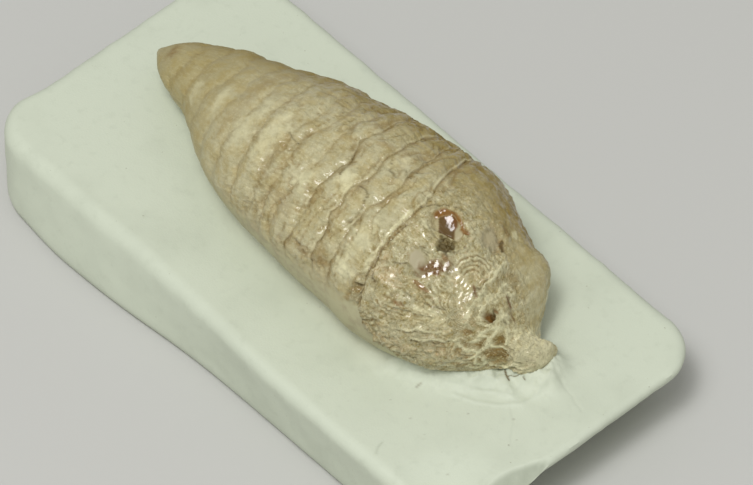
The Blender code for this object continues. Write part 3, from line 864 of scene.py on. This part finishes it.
    def net_nose(self):
        area = fall(self.oval(*NET_AREA), OVAL_REACH, 0.45)
        self.clear(area, "pale", "stain", "groove")
        self.add("stain", 0.60 * area * smoothstep(0.85 + self.ragged))
        line = np.zeros(len(self.x))
        for width, path in NETTING:
            line = np.maximum(line, bell(self.path_gap(path, 0.04) / width))
        for oval in NET_CELLS:
            cell = fall(self.oval(*oval), 1.2, 0.5) * (1.0 - line)
            self.relief -= NET_CELL_DEPTH * cell
            self.add("stain", 0.9 * cell)
            self.add("golden", 0.6 * cell)
        self.relief += NET_HEIGHT * line
        self.clear(line, "stain", "groove")
        self.add("pale", line)

    def underside_band(self):
        """The smooth band under the skin's edge, painted olive as the underside's shade and greenish
        bounce light; its edge is crisp only at the head.
        """
        xs, turns = zip(*SKIN_EDGE)
        crisp = ramp(self.x, 6.5, 3.0)
        edge = np.interp(self.x, xs, turns) + 5.0 * self.ragged
        over = (np.abs(self.angle) - edge) * self.round
        olive = smoothstep(over / (2.4 - 2.1 * crisp) + 0.5)
        self.relief = self.relief * (1.0 - 0.9 * olive) - 0.10 * olive * crisp
        self.relief += 0.07 * bell((over + 0.15) / 0.22) * crisp
        self.clear(olive, "groove", "stain", "pale", "rosy", "maroon", "amber", "dark", "golden")
        stained = bell((over + 0.30) / 0.5) * smoothstep(0.6 + 1.5 * self.ragged)
        self.add("stain", (0.25 + 0.25 * crisp) * stained)
        # The olive mask paints the underside band's shade and bounce light
        self.add("olive", olive)
        self.add("smooth", olive)

    def grain_skin(self):
        """Crumbly grain, ribs along the body that lean down over the head, and wrinkles."""
        self.add("smooth", 0.55 * fall(self.x, -2.0, 9.0))
        self.add("calm", 0.65 * fall(self.x, 8.8, 1.2))
        self.add("calm", 0.95 * ramp(-self.angle, 12.0, 30.0))
        lively = 1.0 - self.masks["calm"]
        rough = (1.0 - self.masks["smooth"]) * (1.0 - 0.8 * self.masks["gloss"])
        head = ramp(self.x, 8.0, 1.5)
        front = ramp(self.x, -6.0, 6.0)
        slow = noise_at(self.plain, 0.42, 2, 31.0)
        broken = smoothstep(0.5 + 1.6 * noise_at(self.plain, 0.9, 2, 37.0))
        lean = 0.8 * np.logaddexp(0.0, 2.0 * (self.x - 11.5)) / 2.0 * ramp(self.angle, 35.0, 30.0)
        fine = noise_at(self.plain, 3.1, 3, 17.0)
        flow = self.arc + lean + (0.5 + 1.1 * head) * slow + 0.12 * self.ragged + 0.10 * fine
        rib = np.sin(2 * math.pi * flow / RIB_SPACING)
        kept = rough * broken * (0.35 + 0.65 * head)
        kept *= 0.3 + 0.7 * ramp(self.angle, -8.0, 25.0)
        low_side = 0.35 + 0.65 * ramp(self.angle, 30.0, 25.0)
        self.relief += RIB_HEIGHT * kept * rib
        # Rib troughs painted brown and crests pale: streaky colour with painted shade and light of
        # the ribs
        self.add("stain", 0.6 * kept * low_side * (0.4 + 0.6 * lively) * ramp(-rib, 0.3, 0.6))
        self.add("groove", 0.18 * kept * head * low_side * ramp(-rib, 0.75, 0.2))
        self.add("pale", 0.45 * kept * ramp(rib, 0.3, 0.6))
        folds = np.stack((0.75 * self.x + 0.35 * slow, 0.22 * self.arc, 0.0 * self.x), axis=1)
        fold = ridges_at(folds + 0.10 * self.ragged[:, None], 1.0, 2, 41.0)
        crease = ramp(fold, 0.88, 0.12) * rough * (1.0 - head)
        self.relief -= (0.05 + 0.08 * front) * crease
        # Creases painted brown, as their painted shade
        self.add("stain", (0.25 + 0.35 * front) * crease)
        ribs = np.stack((0.55 * self.x, 3.2 * (self.arc + lean), np.zeros(len(self.x))), axis=1)
        self.relief += rough * (0.04 + 0.012 * head) * noise_at(ribs, 1.0, 3, 7.0)
        crests = ridges_at(self.plain, 1.3, 3, 11.0)
        self.relief += rough * (0.06 + 0.18 * head * lively) * (crests - 0.8)
        self.relief += rough * (0.04 + 0.03 * front + 0.07 * head * lively) * fine
        crumbs = smoothstep(self.masks["gloss"] / 0.45) * (1.0 - self.masks["smooth"])
        self.relief += crumbs * (self.smoothed(self.relief) - self.relief)
        self.relief += crumbs * self.facets(crumbs > 0.02)
        stub = ramp(self.x, 15.6, 0.8)
        self.relief += stub * (0.16 * noise_at(self.plain, 1.1, 2, 71.0) + 0.06 * fine)

    def as_net(self, values):
        """Values laid out as rings by columns, without the poles."""
        inner = (self.ring > 0) & (self.ring < RINGS)
        net = np.empty((RINGS - 1, SEGMENTS) + values.shape[1:])
        net[self.ring[inner] - 1, self.column[inner]] = values[inner]
        return net

    def from_net(self, net):
        return net[np.clip(self.ring - 1, 0, RINGS - 2), self.column]

    def smoothed(self, values):
        net = self.as_net(values)
        for _ in range(FACET_SMOOTHING):
            net[1:-1] = (net[:-2] + net[1:-1] + net[2:]) / 3.0
            net = (np.roll(net, 1, axis=1) + net + np.roll(net, -1, axis=1)) / 3.0
        return self.from_net(net)

    def outward(self):
        """The way the skin faces at each vertex, with its small relief smoothed away."""
        net = self.as_net(self.smoothed(body_points(self.x, self.angle, self.relief * self.shown)))
        along = np.gradient(net, axis=0)
        around = np.roll(net, -1, axis=1) - np.roll(net, 1, axis=1)
        out = np.cross(along, around)
        out /= np.maximum(np.linalg.norm(out, axis=2), 1e-12)[:, :, None]
        out *= np.sign(np.sum(out * (net - net.mean(axis=1)[:, None]), axis=2))[:, :, None]
        return self.from_net(out)

    def facets(self, where):
        """Heights of small facets that lean to one side, each on its own irregular cell."""
        noise.seed_set(FACET_SEED)
        out = self.outward()[where]
        facing = (out @ FACET_SIDE)[:, None]
        lean = (out * facing - FACET_SIDE) / np.maximum(facing, 0.3)
        lean *= np.minimum(1.0, FACET_LEAN / np.linalg.norm(lean, axis=1))[:, None]
        heights = np.zeros(len(self.x))
        for i, place, slope in zip(np.flatnonzero(where), self.plain[where] * FACETS, lean):
            centre = noise.voronoi(Vector(place))[1][0]
            slope = Vector(slope) + FACET_SCATTER * noise.noise_vector(centre * 7.3)
            heights[i] = (Vector(place) - centre).dot(slope) / FACETS
        return heights

    def tint_and_shade_flanks(self):
        # The +Y flank, turned from the key light, is painted golden-brown and stained: partly its
        # colour, partly painted shade
        golden = ramp(-self.angle, 5.0, 45.0) * fall(self.x, 14.5, 3.0)
        self.add("golden", golden * (0.85 + 0.2 * self.ragged))
        self.add("stain", golden * (0.10 + 0.16 * ramp(self.x, 8.5, 2.0)))
        self.add("golden", 0.42 * fall(self.x, -7.0, 6.0))

    def shape(self):
        self.lap_whorls()
        self.swell_head()
        self.add_lumps()
        self.sink_pits()
        self.lay_patches()
        self.split_and_string()
        self.set_scales()
        self.curl_laminae()
        self.net_nose()
        self.tint_and_shade_flanks()
        self.underside_band()
        self.grain_skin()
        relief = self.relief * self.shown
        poles = (self.ring == 0) | (self.ring == RINGS)
        return body_points(self.x, self.angle, np.where(poles, -1.0, relief))


def make_skin_finish(looks):
    finish = Finish("fossil_skin")
    place = finish.millimetres()
    along = finish.stretch(finish.vector("surface"), (0.8, 4.5, 1.0))
    blotch = finish.noise(place, 0.9, 5.0, 0.62)
    speck = finish.noise(place, 4.0, 5.0, 0.70, 0.6)
    fleck = finish.noise(place, 7.5, 3.0, 0.65, 0.5)
    other = finish.noise(finish.stretch(place, (1.3, 0.9, 1.1)), 3.4, 4.0, 0.65, 0.8)
    ribs = finish.noise(along, 1.6, 4.0, 0.6, 0.4)
    damper = finish.noise(place, 1.4, 3.0, 0.6)
    masks = {name: finish.value(name) for name in MASKS}
    rough = 1.0 - masks["smooth"]
    lively = rough * (1.0 - masks["calm"])

    crumb = fleck.between(0.40, 0.60) * rough
    amber = finish.mix(looks.amber, looks.maroon, speck.between(0.42, 0.66) * 0.7)
    olive = finish.mix(looks.olive, looks.grey, blotch.between(0.4, 0.7))
    colour = finish.layers(looks.tan, (
        (looks.light_tan, blotch.between(0.36, 0.60)),
        (looks.golden, masks["golden"]),
        (looks.rosy, masks["rosy"] * speck.between(0.30, 0.62) * 0.9),
        (looks.golden, speck.between(0.50, 0.66) * lively * 0.8),
        (looks.rosy, other.between(0.56, 0.70) * lively * 0.5),
        (looks.straw, ribs.between(0.54, 0.68) * (rough * 0.1 + lively * 0.3)),
        (looks.brown, masks["stain"] * (speck * 0.6 + 0.5)),
        (looks.brown, (1.0 - other).between(0.58, 0.68) * lively * 0.45),
        (looks.straw, masks["pale"] * (speck.between(0.25, 0.5) * 0.5 + 0.5)),
        (looks.straw, (1.0 - fleck).between(0.56, 0.66) * (rough * 0.15 + lively * 0.35)),
        (looks.brown, fleck.between(0.58, 0.68) * lively * 0.6),
        # dark lines, partly painted shade in the ledges' grooves
        (looks.umber, masks["groove"] * 0.8),
        (looks.grey, masks["grey"]),
        (looks.maroon, masks["maroon"] * (1.0 - crumb * 0.4)),
        (amber, masks["amber"]),
        # dark colour with painted shade in the pits and holes
        (looks.umber, masks["dark"] * (1.0 - crumb * 0.5)),
        # painted shade and bounce light of the underside band
        (olive, masks["olive"]),
    ))

    height = speck * 1.0 + fleck * 0.5 + ribs * 0.35 + other * 0.5 - 1.175
    wet = masks["gloss"].between(0.05, 0.55)
    damp = damper.between(0.45, 0.56) * rough ** 3.0 * (1.0 - masks["dark"])
    height = height * (rough * 0.95 + 0.05) * (1.0 - wet * 0.8) * (1.0 - damp * 0.6)
    height = height * (1.0 - masks["calm"] * 0.5)
    dull = 0.50 - wet * 0.30 + masks["olive"] * 0.10 - damp * 0.10
    finish.feed({"Base Color": colour, "Normal": finish.bump(height, looks.grain),
                 "Roughness": dull, "Coat Weight": wet + damp * 0.8, "Coat Roughness": 0.07,
                 "Specular IOR Level": 0.3})
    return finish.material


class MESH_OT_coprolite_skin(bpy.types.Operator):
    """Model the coprolite's lapped skin from a sphere and give it its finish"""

    bl_idname = "mesh.coprolite_skin"
    bl_label = "Coprolite skin"

    def execute(self, context):
        start_piece()
        bpy.ops.mesh.primitive_uv_sphere_add(segments=SEGMENTS, ring_count=RINGS, radius=1.0)
        piece = context.object
        skin = Skin(read_places(piece.data))
        write_places(piece.data, skin.shape())
        surface = piece.data.attributes.new("surface", "FLOAT_VECTOR", "POINT")
        places = np.stack((skin.x, skin.arc, np.zeros(len(skin.x))), axis=1)
        surface.data.foreach_set("vector", places.astype(np.float32).ravel())
        write_values(piece.data, skin.masks)
        bpy.ops.object.shade_smooth()
        finish = make_skin_finish(context.scene.coprolite_looks)
        finish_piece(piece, "coprolite_skin", finish, "coprolite")
        return {"FINISHED"}


# ------------------------------------------------------------------ mounting block


# Grid lines across the block's top: place, lines per millimetre
LENGTH_DENSITY = ((-24, 4), (9, 4.5), (12, 10), (20.5, 10), (24, 7))
WIDTH_DENSITY = ((-12, 6), (-7, 7), (-5, 10), (2, 10), (4, 5), (12, 4))
LENGTH_LINES = 290
WIDTH_LINES = 180
GRID_LINES = ((LENGTH_DENSITY, LENGTH_LINES), (WIDTH_DENSITY, WIDTH_LINES))
RIM_STEPS = 5
SIDE_STEPS = 9
FOOT_STEPS = 3
SIDE_DROP = 0.1

# Creases in the block's top under the nose: height, width, darkness, then the path as x and y
CREASES = (
    (0.1, 0.16, 0.15, ((10.9, -5), (12.1, -4.1), (13.7, -3.35), (15.4, -2.4), (16.3, -1.3))),
    (-0.05, 0.1, 0.15, ((11.4, -5.3), (13.2, -4.2), (14.5, -3.6), (15.8, -2.7), (16.8, -1.6))),
    (0.06, 0.14, 0.15, ((14.4, -3.3), (15.8, -2.8), (16.9, -1.8), (17.7, -1.4))),
    (0.05, 0.14, 0.15, ((15.2, -3.9), (16.6, -3.2), (17.9, -2.2), (18.7, -1.2), (18.9, 0.1),
                        (18.8, 1.2), (18.2, 1.9))),
    (-0.03, 0.08, 0.15, ((19.1, 1.75), (20.2, 1.7), (21.8, 1.35))),
    (-0.02, 0.06, 0.15, ((18.1, -1.4), (19.45, -2.55), (20.8, -4.05))),
    (-0.12, 0.1, 1, ((16.35, -0.33), (16.66, -0.49), (17.04, -0.58))),
    (-0.06, 0.06, 0.8, ((16.86, -0.41), (17.13, -0.23), (17.31, -0.04), (16.94, 0.44))),
    (-0.06, 0.09, 0.8, ((17.54, 0.12), (17.74, 0.07))),
    (-0.04, 0.08, 0.5, ((15.44, -10.71), (15.24, -10.3), (14.98, -9.81))),
)
# Rings left by bubbles: x, y, radius
BUBBLES = ((17.35, -0.5, 0.42), (17.8, 0.35, 0.25), (17.7, -1.15, 0.2))
# Specks on the top: x, y, size
SPECKS = (
    (13.25, -5.2, 0.09), (13.25, -5.05, 0.09), (13.27, -4.9, 0.08), (17, -4.2, 0.06),
    (18.5, -6.6, 0.04), (14.8, -7.15, 0.06), (19.6, -8.35, 0.06), (20.7, -3.4, 0.04),
    (16.4, -7.45, 0.04), (12.8, -7.1, 0.04), (19.3, -2.35, 0.07),
)
# Worn flats on the near corner: a place on its top line, the direction outward, slope
FLATS = ((22.05, -6, (0.93, -0.36), 0.85), (17.6, -11.2, (0.25, -0.97), 0.8))
FLAT_ROUNDING = 0.25
FLAT_DROP = 0.15
# Where the flats may be: x, y, radius, how softly they end
FLAT_AREA = (22.0, -9.5, 9.0, 3.0)
# Painted shade on the block beside the foot: strength, reach, and how much of it is lost past the
# head's start
FOOT_SHADE = 0.9
FOOT_SHADE_REACH = 1.5
FOOT_SHADE_FADE = 0.8
HEAD_START = (9.0, 3.0)
# The block is built up under the overhanging stub
STUB_START = 15.8
STUB_RISE = 0.90


def even_share(low, high, density, count):
    """Places from low to high, closer together where the density is greater."""
    fine = np.linspace(low, high, 2000)
    xs, rates = zip(*density)
    travelled = np.concatenate(([0.0], np.cumsum(np.interp(fine, xs, rates))[:-1]))
    return np.interp(np.linspace(0.0, travelled[-1], count + 1), travelled, fine)


def foot_distance(x, y):
    """How far places on the block's top are outside the coprolite's foot."""
    best = np.full(len(x), FAR)
    for place in np.linspace(BODY_STATIONS[0][0], BODY_STATIONS[-1][0], 90):
        half_width, centre_y, centre_z = (float(v) for v in station(place))
        rise = centre_z / (FLATTENING * half_width)
        if place > STUB_START:
            rise = min(rise, STUB_RISE)
        if abs(rise) < 1.0:
            chord = half_width * math.sqrt(1.0 - rise * rise)
            side = np.maximum(np.abs(y - centre_y) - chord, 0.0)
            best = np.minimum(best, np.hypot(x - place, side))
    return best


def body_underside(x, y):
    """Height of the coprolite's underside over each place, far up where there is none."""
    half_width, centre_y, centre_z = station(x)
    inside = half_width ** 2 - (y - centre_y) ** 2
    low = BLOCK_HEIGHT + centre_z - FLATTENING * np.sqrt(np.maximum(inside, 0.0))
    beyond = (x < BODY_STATIONS[0][0]) | (x > BODY_STATIONS[-1][0]) | (inside <= 0.0)
    return np.where(beyond, FAR, low)


def shape_block_points(x, y, z):
    """Turn points of the straight slab into the hand-made block's uneven form."""
    low = 1.0 - z / BLOCK_HEIGHT
    near_side = ramp(-y, 4.0, 6.0)
    far_side = ramp(y, 4.0, 6.0)
    head_end = ramp(x, 8.0, 14.0)
    tail_end = ramp(-x, 14.0, 9.0)
    top_lean = 0.90 - 0.45 * np.tanh(x / 6.0)
    foot_lean = 0.55 + 0.55 * np.tanh((x + 6.0) / 5.0) + 0.7 * tail_end
    y = y + near_side * (top_lean * (1.0 - low) + foot_lean * low)
    y = y + far_side * (0.10 - 0.02 * x)
    x = x - head_end * END_UNDERCUT * low
    x = x + tail_end * (near_side * (0.9 * low - 0.45) - 0.02 * (y + 8.0))
    return x, y


class Slab:
    """The block, as a grid over its top and rings down its sides."""

    def __init__(self, grid):
        self.level = np.rint(-grid[:, 2] / SIDE_DROP).astype(int)
        self.on_top = self.level == 0
        half = np.array((BLOCK_LENGTH, BLOCK_WIDTH)) / 2 - RIM_RADIUS
        flat = np.empty((len(grid), 2))
        for axis, (density, lines) in enumerate(GRID_LINES):
            line = np.rint((grid[:, axis] + 1.0) / 2.0 * lines).astype(int)
            flat[:, axis] = even_share(-half[axis], half[axis], density, lines)[line]
        out = np.where(np.abs(flat) >= half - 1e-9, np.sign(flat), 0.0)
        worn = (flat[:, :1] > 0.0) & (flat[:, 1:] < 0.0)
        radius = np.where(worn, WORN_CORNER_RADIUS, CORNER_RADIUS) - RIM_RADIUS
        share = (np.abs(flat) - half + radius) / radius
        corner = np.all(share > 0.0, axis=1, keepdims=True)
        share = np.where(corner, share, 0.0)
        bent = share * np.sqrt(1.0 - share[:, ::-1] ** 2 / 2.0)
        self.flat = np.where(corner, np.sign(flat) * (half - radius + radius * bent), flat)
        self.out = np.where(corner, np.sign(flat) * bent, out)

    def profile(self):
        """Outset and height of each level, from the top's rim to the underside."""
        rows = [(0.0, BLOCK_HEIGHT)]
        for i in range(1, RIM_STEPS + 1):
            turn = 0.5 * math.pi * i / RIM_STEPS
            rows.append((RIM_RADIUS * math.sin(turn),
                         BLOCK_HEIGHT - RIM_RADIUS * (1.0 - math.cos(turn))))
        for i in range(1, SIDE_STEPS + 1):
            share = i / SIDE_STEPS
            rows.append((RIM_RADIUS,
                         (BLOCK_HEIGHT - RIM_RADIUS) * (1.0 - share) + RIM_RADIUS * share))
        for i in range(1, FOOT_STEPS + 1):
            turn = 0.5 * math.pi * i / FOOT_STEPS
            rows.append((RIM_RADIUS * math.cos(turn), RIM_RADIUS * (1.0 - math.sin(turn))))
        return np.array(rows)

    def shape(self):
        outset, z = self.profile()[self.level].T
        x, y = (self.flat + self.out * outset[:, None]).T
        side = (self.level > 0) & (z > 0.5)
        corner = np.hypot(x - BLOCK_LENGTH / 2, y + BLOCK_WIDTH / 2)
        wear = CORNER_WEAR * fall(corner, *CORNER_WEAR_REACH)
        top = smoothstep(z / BLOCK_HEIGHT)
        x, y = shape_block_points(x, y, z)
        z = z - wear * top
        self.place = np.stack((x, y, z), axis=1)
        self.ragged = noise_at(self.place, 0.7, 3, 1.0)
        self.foot = foot_distance(x, y)
        self.in_frame = x + FRAME_SHIFT[0], y + FRAME_SHIFT[1]
        under_head = LIP_UNDER_HEAD * ramp(x, 8.0, 3.0) * smoothstep(-y)
        lift = LIP_HEIGHT * bell(self.foot / (LIP_SPREAD * (1.0 + under_head)))
        lift *= (1.0 + under_head) * (1.0 + LIP_RAGGED * self.ragged)
        lift += TOP_WAVES * noise_at(self.place, 0.16, 2, 5.0) + self.creases()
        z = self.wear_flats(z + lift * self.on_top)
        z = np.minimum(z, body_underside(x, y) + BED_OVERLAP)
        push = SIDE_WAVES * noise_at(self.place, 0.5, 3, 8.0) * side
        return np.stack((x + self.out[:, 0] * push, y + self.out[:, 1] * push, z), axis=1)

    def creases(self):
        """Lift of the creases, cracks and bubbles in the top, with their marks and the specks."""
        x, y = self.in_frame
        lift = np.zeros(len(x))
        self.marks = np.zeros(len(x))
        self.specks = np.zeros(len(x))
        stray = 0.12 * self.ragged
        for height, width, darkness, path in CREASES:
            gap = path_gap(path, lambda x0, y0, x1, y1: part_gap(
                x + stray - x0, y + stray - y0, x1 - x0, y1 - y0))
            lift += height * bell(gap / width)
            self.marks = np.maximum(self.marks, bell(gap / (0.8 * width)) * darkness)
        for place_x, place_y, radius in BUBBLES:
            gap = np.hypot(x - place_x, y - place_y) - radius
            lift += 0.03 * bell(gap / 0.10)
            self.marks = np.maximum(self.marks, bell(gap / 0.09) * 0.12)
        for place_x, place_y, size in SPECKS:
            gap = np.hypot(x - place_x, y - place_y)
            self.specks = np.maximum(self.specks, bell(gap / size))
        return lift

    def wear_flats(self, z):
        x, y = self.in_frame
        self.worn = np.zeros(len(x))
        for place_x, place_y, (out_x, out_y), slope in FLATS:
            past = (x - place_x) * out_x + (y - place_y) * out_y
            flat = BLOCK_HEIGHT - FLAT_DROP - slope * past + 0.05 * self.ragged
            near = fall(np.hypot(x - FLAT_AREA[0], y - FLAT_AREA[1]), *FLAT_AREA[2:])
            near *= ramp(past, -0.6, 0.3)
            spare = z - flat
            cut = spare * smoothstep(spare / FLAT_ROUNDING + 0.5)
            self.worn = np.maximum(self.worn, smoothstep(spare / 0.25) * near)
            z = z - np.maximum(cut, 0.0) * near
        return z


def make_block_finish(looks):
    finish = Finish("pale_block")
    place = finish.millimetres()
    cloud = finish.noise(place, 0.22, 3.0, 0.5)
    mottle = finish.noise(place, 1.3, 5.0, 0.6)
    grain = finish.noise(place, 7.0, 4.0, 0.6)
    pores = finish.noise(place, 3.1, 2.0, 0.5)
    mark = finish.value("mark")
    colour = finish.layers(looks.pale, (
        (looks.worn, cloud.between(0.45, 0.8) * 0.22),
        (looks.worn, mottle.between(0.52, 0.75) * 0.16),
        # painted shade beside the coprolite's foot
        (looks.foot, finish.value("foot")),
        (looks.worn, finish.value("worn") * (mottle * 0.6 + 0.55)),
        (looks.worn, mark),
        (looks.crack, mark.between(0.3, 0.9)),
        (looks.speck, finish.value("speck") * 0.55),
        (looks.pore, pores.between(0.76, 0.79) * 0.5),
    ))
    height = grain * 0.6 + mottle * 0.8
    finish.feed({"Base Color": colour, "Normal": finish.bump(height, looks.grain),
                 "Roughness": grain * 0.12 + 0.52, "Specular IOR Level": 0.4})
    return finish.material


class MESH_OT_coprolite_block(bpy.types.Operator):
    """Model the mounting block from a grid, with its bed, lip and worn rims"""

    bl_idname = "mesh.coprolite_block"
    bl_label = "Mounting block"

    def execute(self, context):
        start_piece()
        bpy.ops.mesh.primitive_grid_add(x_subdivisions=LENGTH_LINES, y_subdivisions=WIDTH_LINES,
                                        size=2.0)
        piece = context.object
        bpy.ops.object.mode_set(mode="EDIT")
        bpy.ops.mesh.select_mode(type="EDGE")
        bpy.ops.mesh.select_all(action="SELECT")
        bpy.ops.mesh.region_to_loop()
        for _ in range(RIM_STEPS + SIDE_STEPS + FOOT_STEPS):
            bpy.ops.mesh.extrude_region_move(TRANSFORM_OT_translate={"value": (0, 0, -SIDE_DROP)})
        bpy.ops.mesh.edge_face_add()
        bpy.ops.mesh.select_all(action="SELECT")
        bpy.ops.mesh.normals_make_consistent(inside=False)
        bpy.ops.object.mode_set(mode="OBJECT")
        slab = Slab(read_places(piece.data))
        write_places(piece.data, slab.shape())
        # Painted shade on the block's top beside the coprolite's foot, weaker past the head's start
        foot = FOOT_SHADE * bell(slab.foot / FOOT_SHADE_REACH) * slab.on_top
        foot *= 1.0 - FOOT_SHADE_FADE * ramp(slab.flat[:, 0], *HEAD_START)
        write_values(piece.data, {"foot": foot, "worn": slab.worn,
                                  "mark": slab.marks, "speck": slab.specks * slab.on_top})
        bpy.ops.object.shade_smooth_by_angle(angle=math.radians(40.0))
        finish = make_block_finish(context.scene.block_looks)
        finish_piece(piece, "block_body", finish, "mounting_block")
        return {"FINISHED"}


# ------------------------------------------------------------------ stage


FLOOR_SIZE = 4.0
FLOOR_ROUGHNESS = 0.8
SKY_COLOUR = (1.0, 1.0, 0.97, 1.0)
LENS = 300.0
SENSOR = 36.0
NEAREST_SEEN = 0.01
KEY_PLACE = (0.113, -0.22, 0.51)
KEY_SIZE = 0.26
HOT_SIZE = 0.10
HOT_SHARE = 0.45


def add_light(name, place, aim, size, power):
    bpy.ops.object.light_add(type="AREA", location=place)
    light = bpy.context.object
    light.name = name
    light.data.shape = "DISK"
    light.data.size = size
    light.data.energy = power
    light.rotation_euler = (Vector(place) - Vector(aim)).to_track_quat("Z", "Y").to_euler()


class SCENE_OT_coprolite_stage(bpy.types.Operator):
    """Set the floor, the soft lights and the camera"""

    bl_idname = "scene.coprolite_stage"
    bl_label = "Stage"

    def execute(self, context):
        start_piece()
        looks = context.scene.stage_looks
        bpy.ops.mesh.primitive_plane_add(size=FLOOR_SIZE, location=(0.0, 0.0, 0.0))
        floor = context.object
        floor.name = "floor"
        finish = Finish("floor_paint")
        finish.feed({"Base Color": (*looks.floor, 1.0), "Roughness": FLOOR_ROUGHNESS})
        floor.data.materials.append(finish.material)

        world = bpy.data.worlds.new("soft_room")
        world.use_nodes = True
        background = world.node_tree.nodes["Background"].inputs
        background["Color"].default_value = SKY_COLOUR
        background["Strength"].default_value = looks.sky
        context.scene.world = world

        aim = Vector(looks.aim)
        add_light("key_light", KEY_PLACE, aim, KEY_SIZE, looks.key_power)
        add_light("hot_light", KEY_PLACE, aim, HOT_SIZE, HOT_SHARE * looks.key_power)

        turn, rise = looks.azimuth, looks.elevation
        back = Vector((math.sin(turn) * math.cos(rise), -math.cos(turn) * math.cos(rise),
                       math.sin(rise)))
        bpy.ops.object.camera_add(location=aim + back * looks.distance,
                                  rotation=back.to_track_quat("Z", "Y").to_euler())
        camera = context.object
        camera.data.lens = LENS
        camera.data.sensor_width = SENSOR
        camera.data.clip_start = NEAREST_SEEN
        context.scene.camera = camera
        context.scene.view_settings.view_transform = "Standard"
        return {"FINISHED"}


# ------------------------------------------------------------------ panel and start


class VIEW3D_PT_coprolite(bpy.types.Panel):
    """Sizes and colours of the coprolite, its block and the stage"""

    bl_label = "Coprolite"
    bl_space_type = "VIEW_3D"
    bl_region_type = "UI"
    bl_category = "Coprolite"

    def draw(self, context):
        for group, (looks, operator) in GROUPS.items():
            box = self.layout.box()
            for name in looks.__annotations__:
                box.prop(getattr(context.scene, group), name)
            box.operator(operator.bl_idname)


# The scene's property groups, each with the operator that reads it
GROUPS = {"coprolite_looks": (CoproliteLooks, MESH_OT_coprolite_skin),
          "block_looks": (BlockLooks, MESH_OT_coprolite_block),
          "stage_looks": (StageLooks, SCENE_OT_coprolite_stage)}
CLASSES = (*(item for pair in GROUPS.values() for item in pair), VIEW3D_PT_coprolite)


def register():
    for item in CLASSES:
        bpy.utils.register_class(item)
    for name, (looks, _) in GROUPS.items():
        setattr(bpy.types.Scene, name, PointerProperty(type=looks))


def unregister():
    for name in GROUPS:
        delattr(bpy.types.Scene, name)
    for item in reversed(CLASSES):
        bpy.utils.unregister_class(item)


def main():
    register()
    bpy.ops.mesh.coprolite_skin()
    bpy.ops.mesh.coprolite_block()
    bpy.ops.scene.coprolite_stage()


if __name__ == "__main__":
    main()
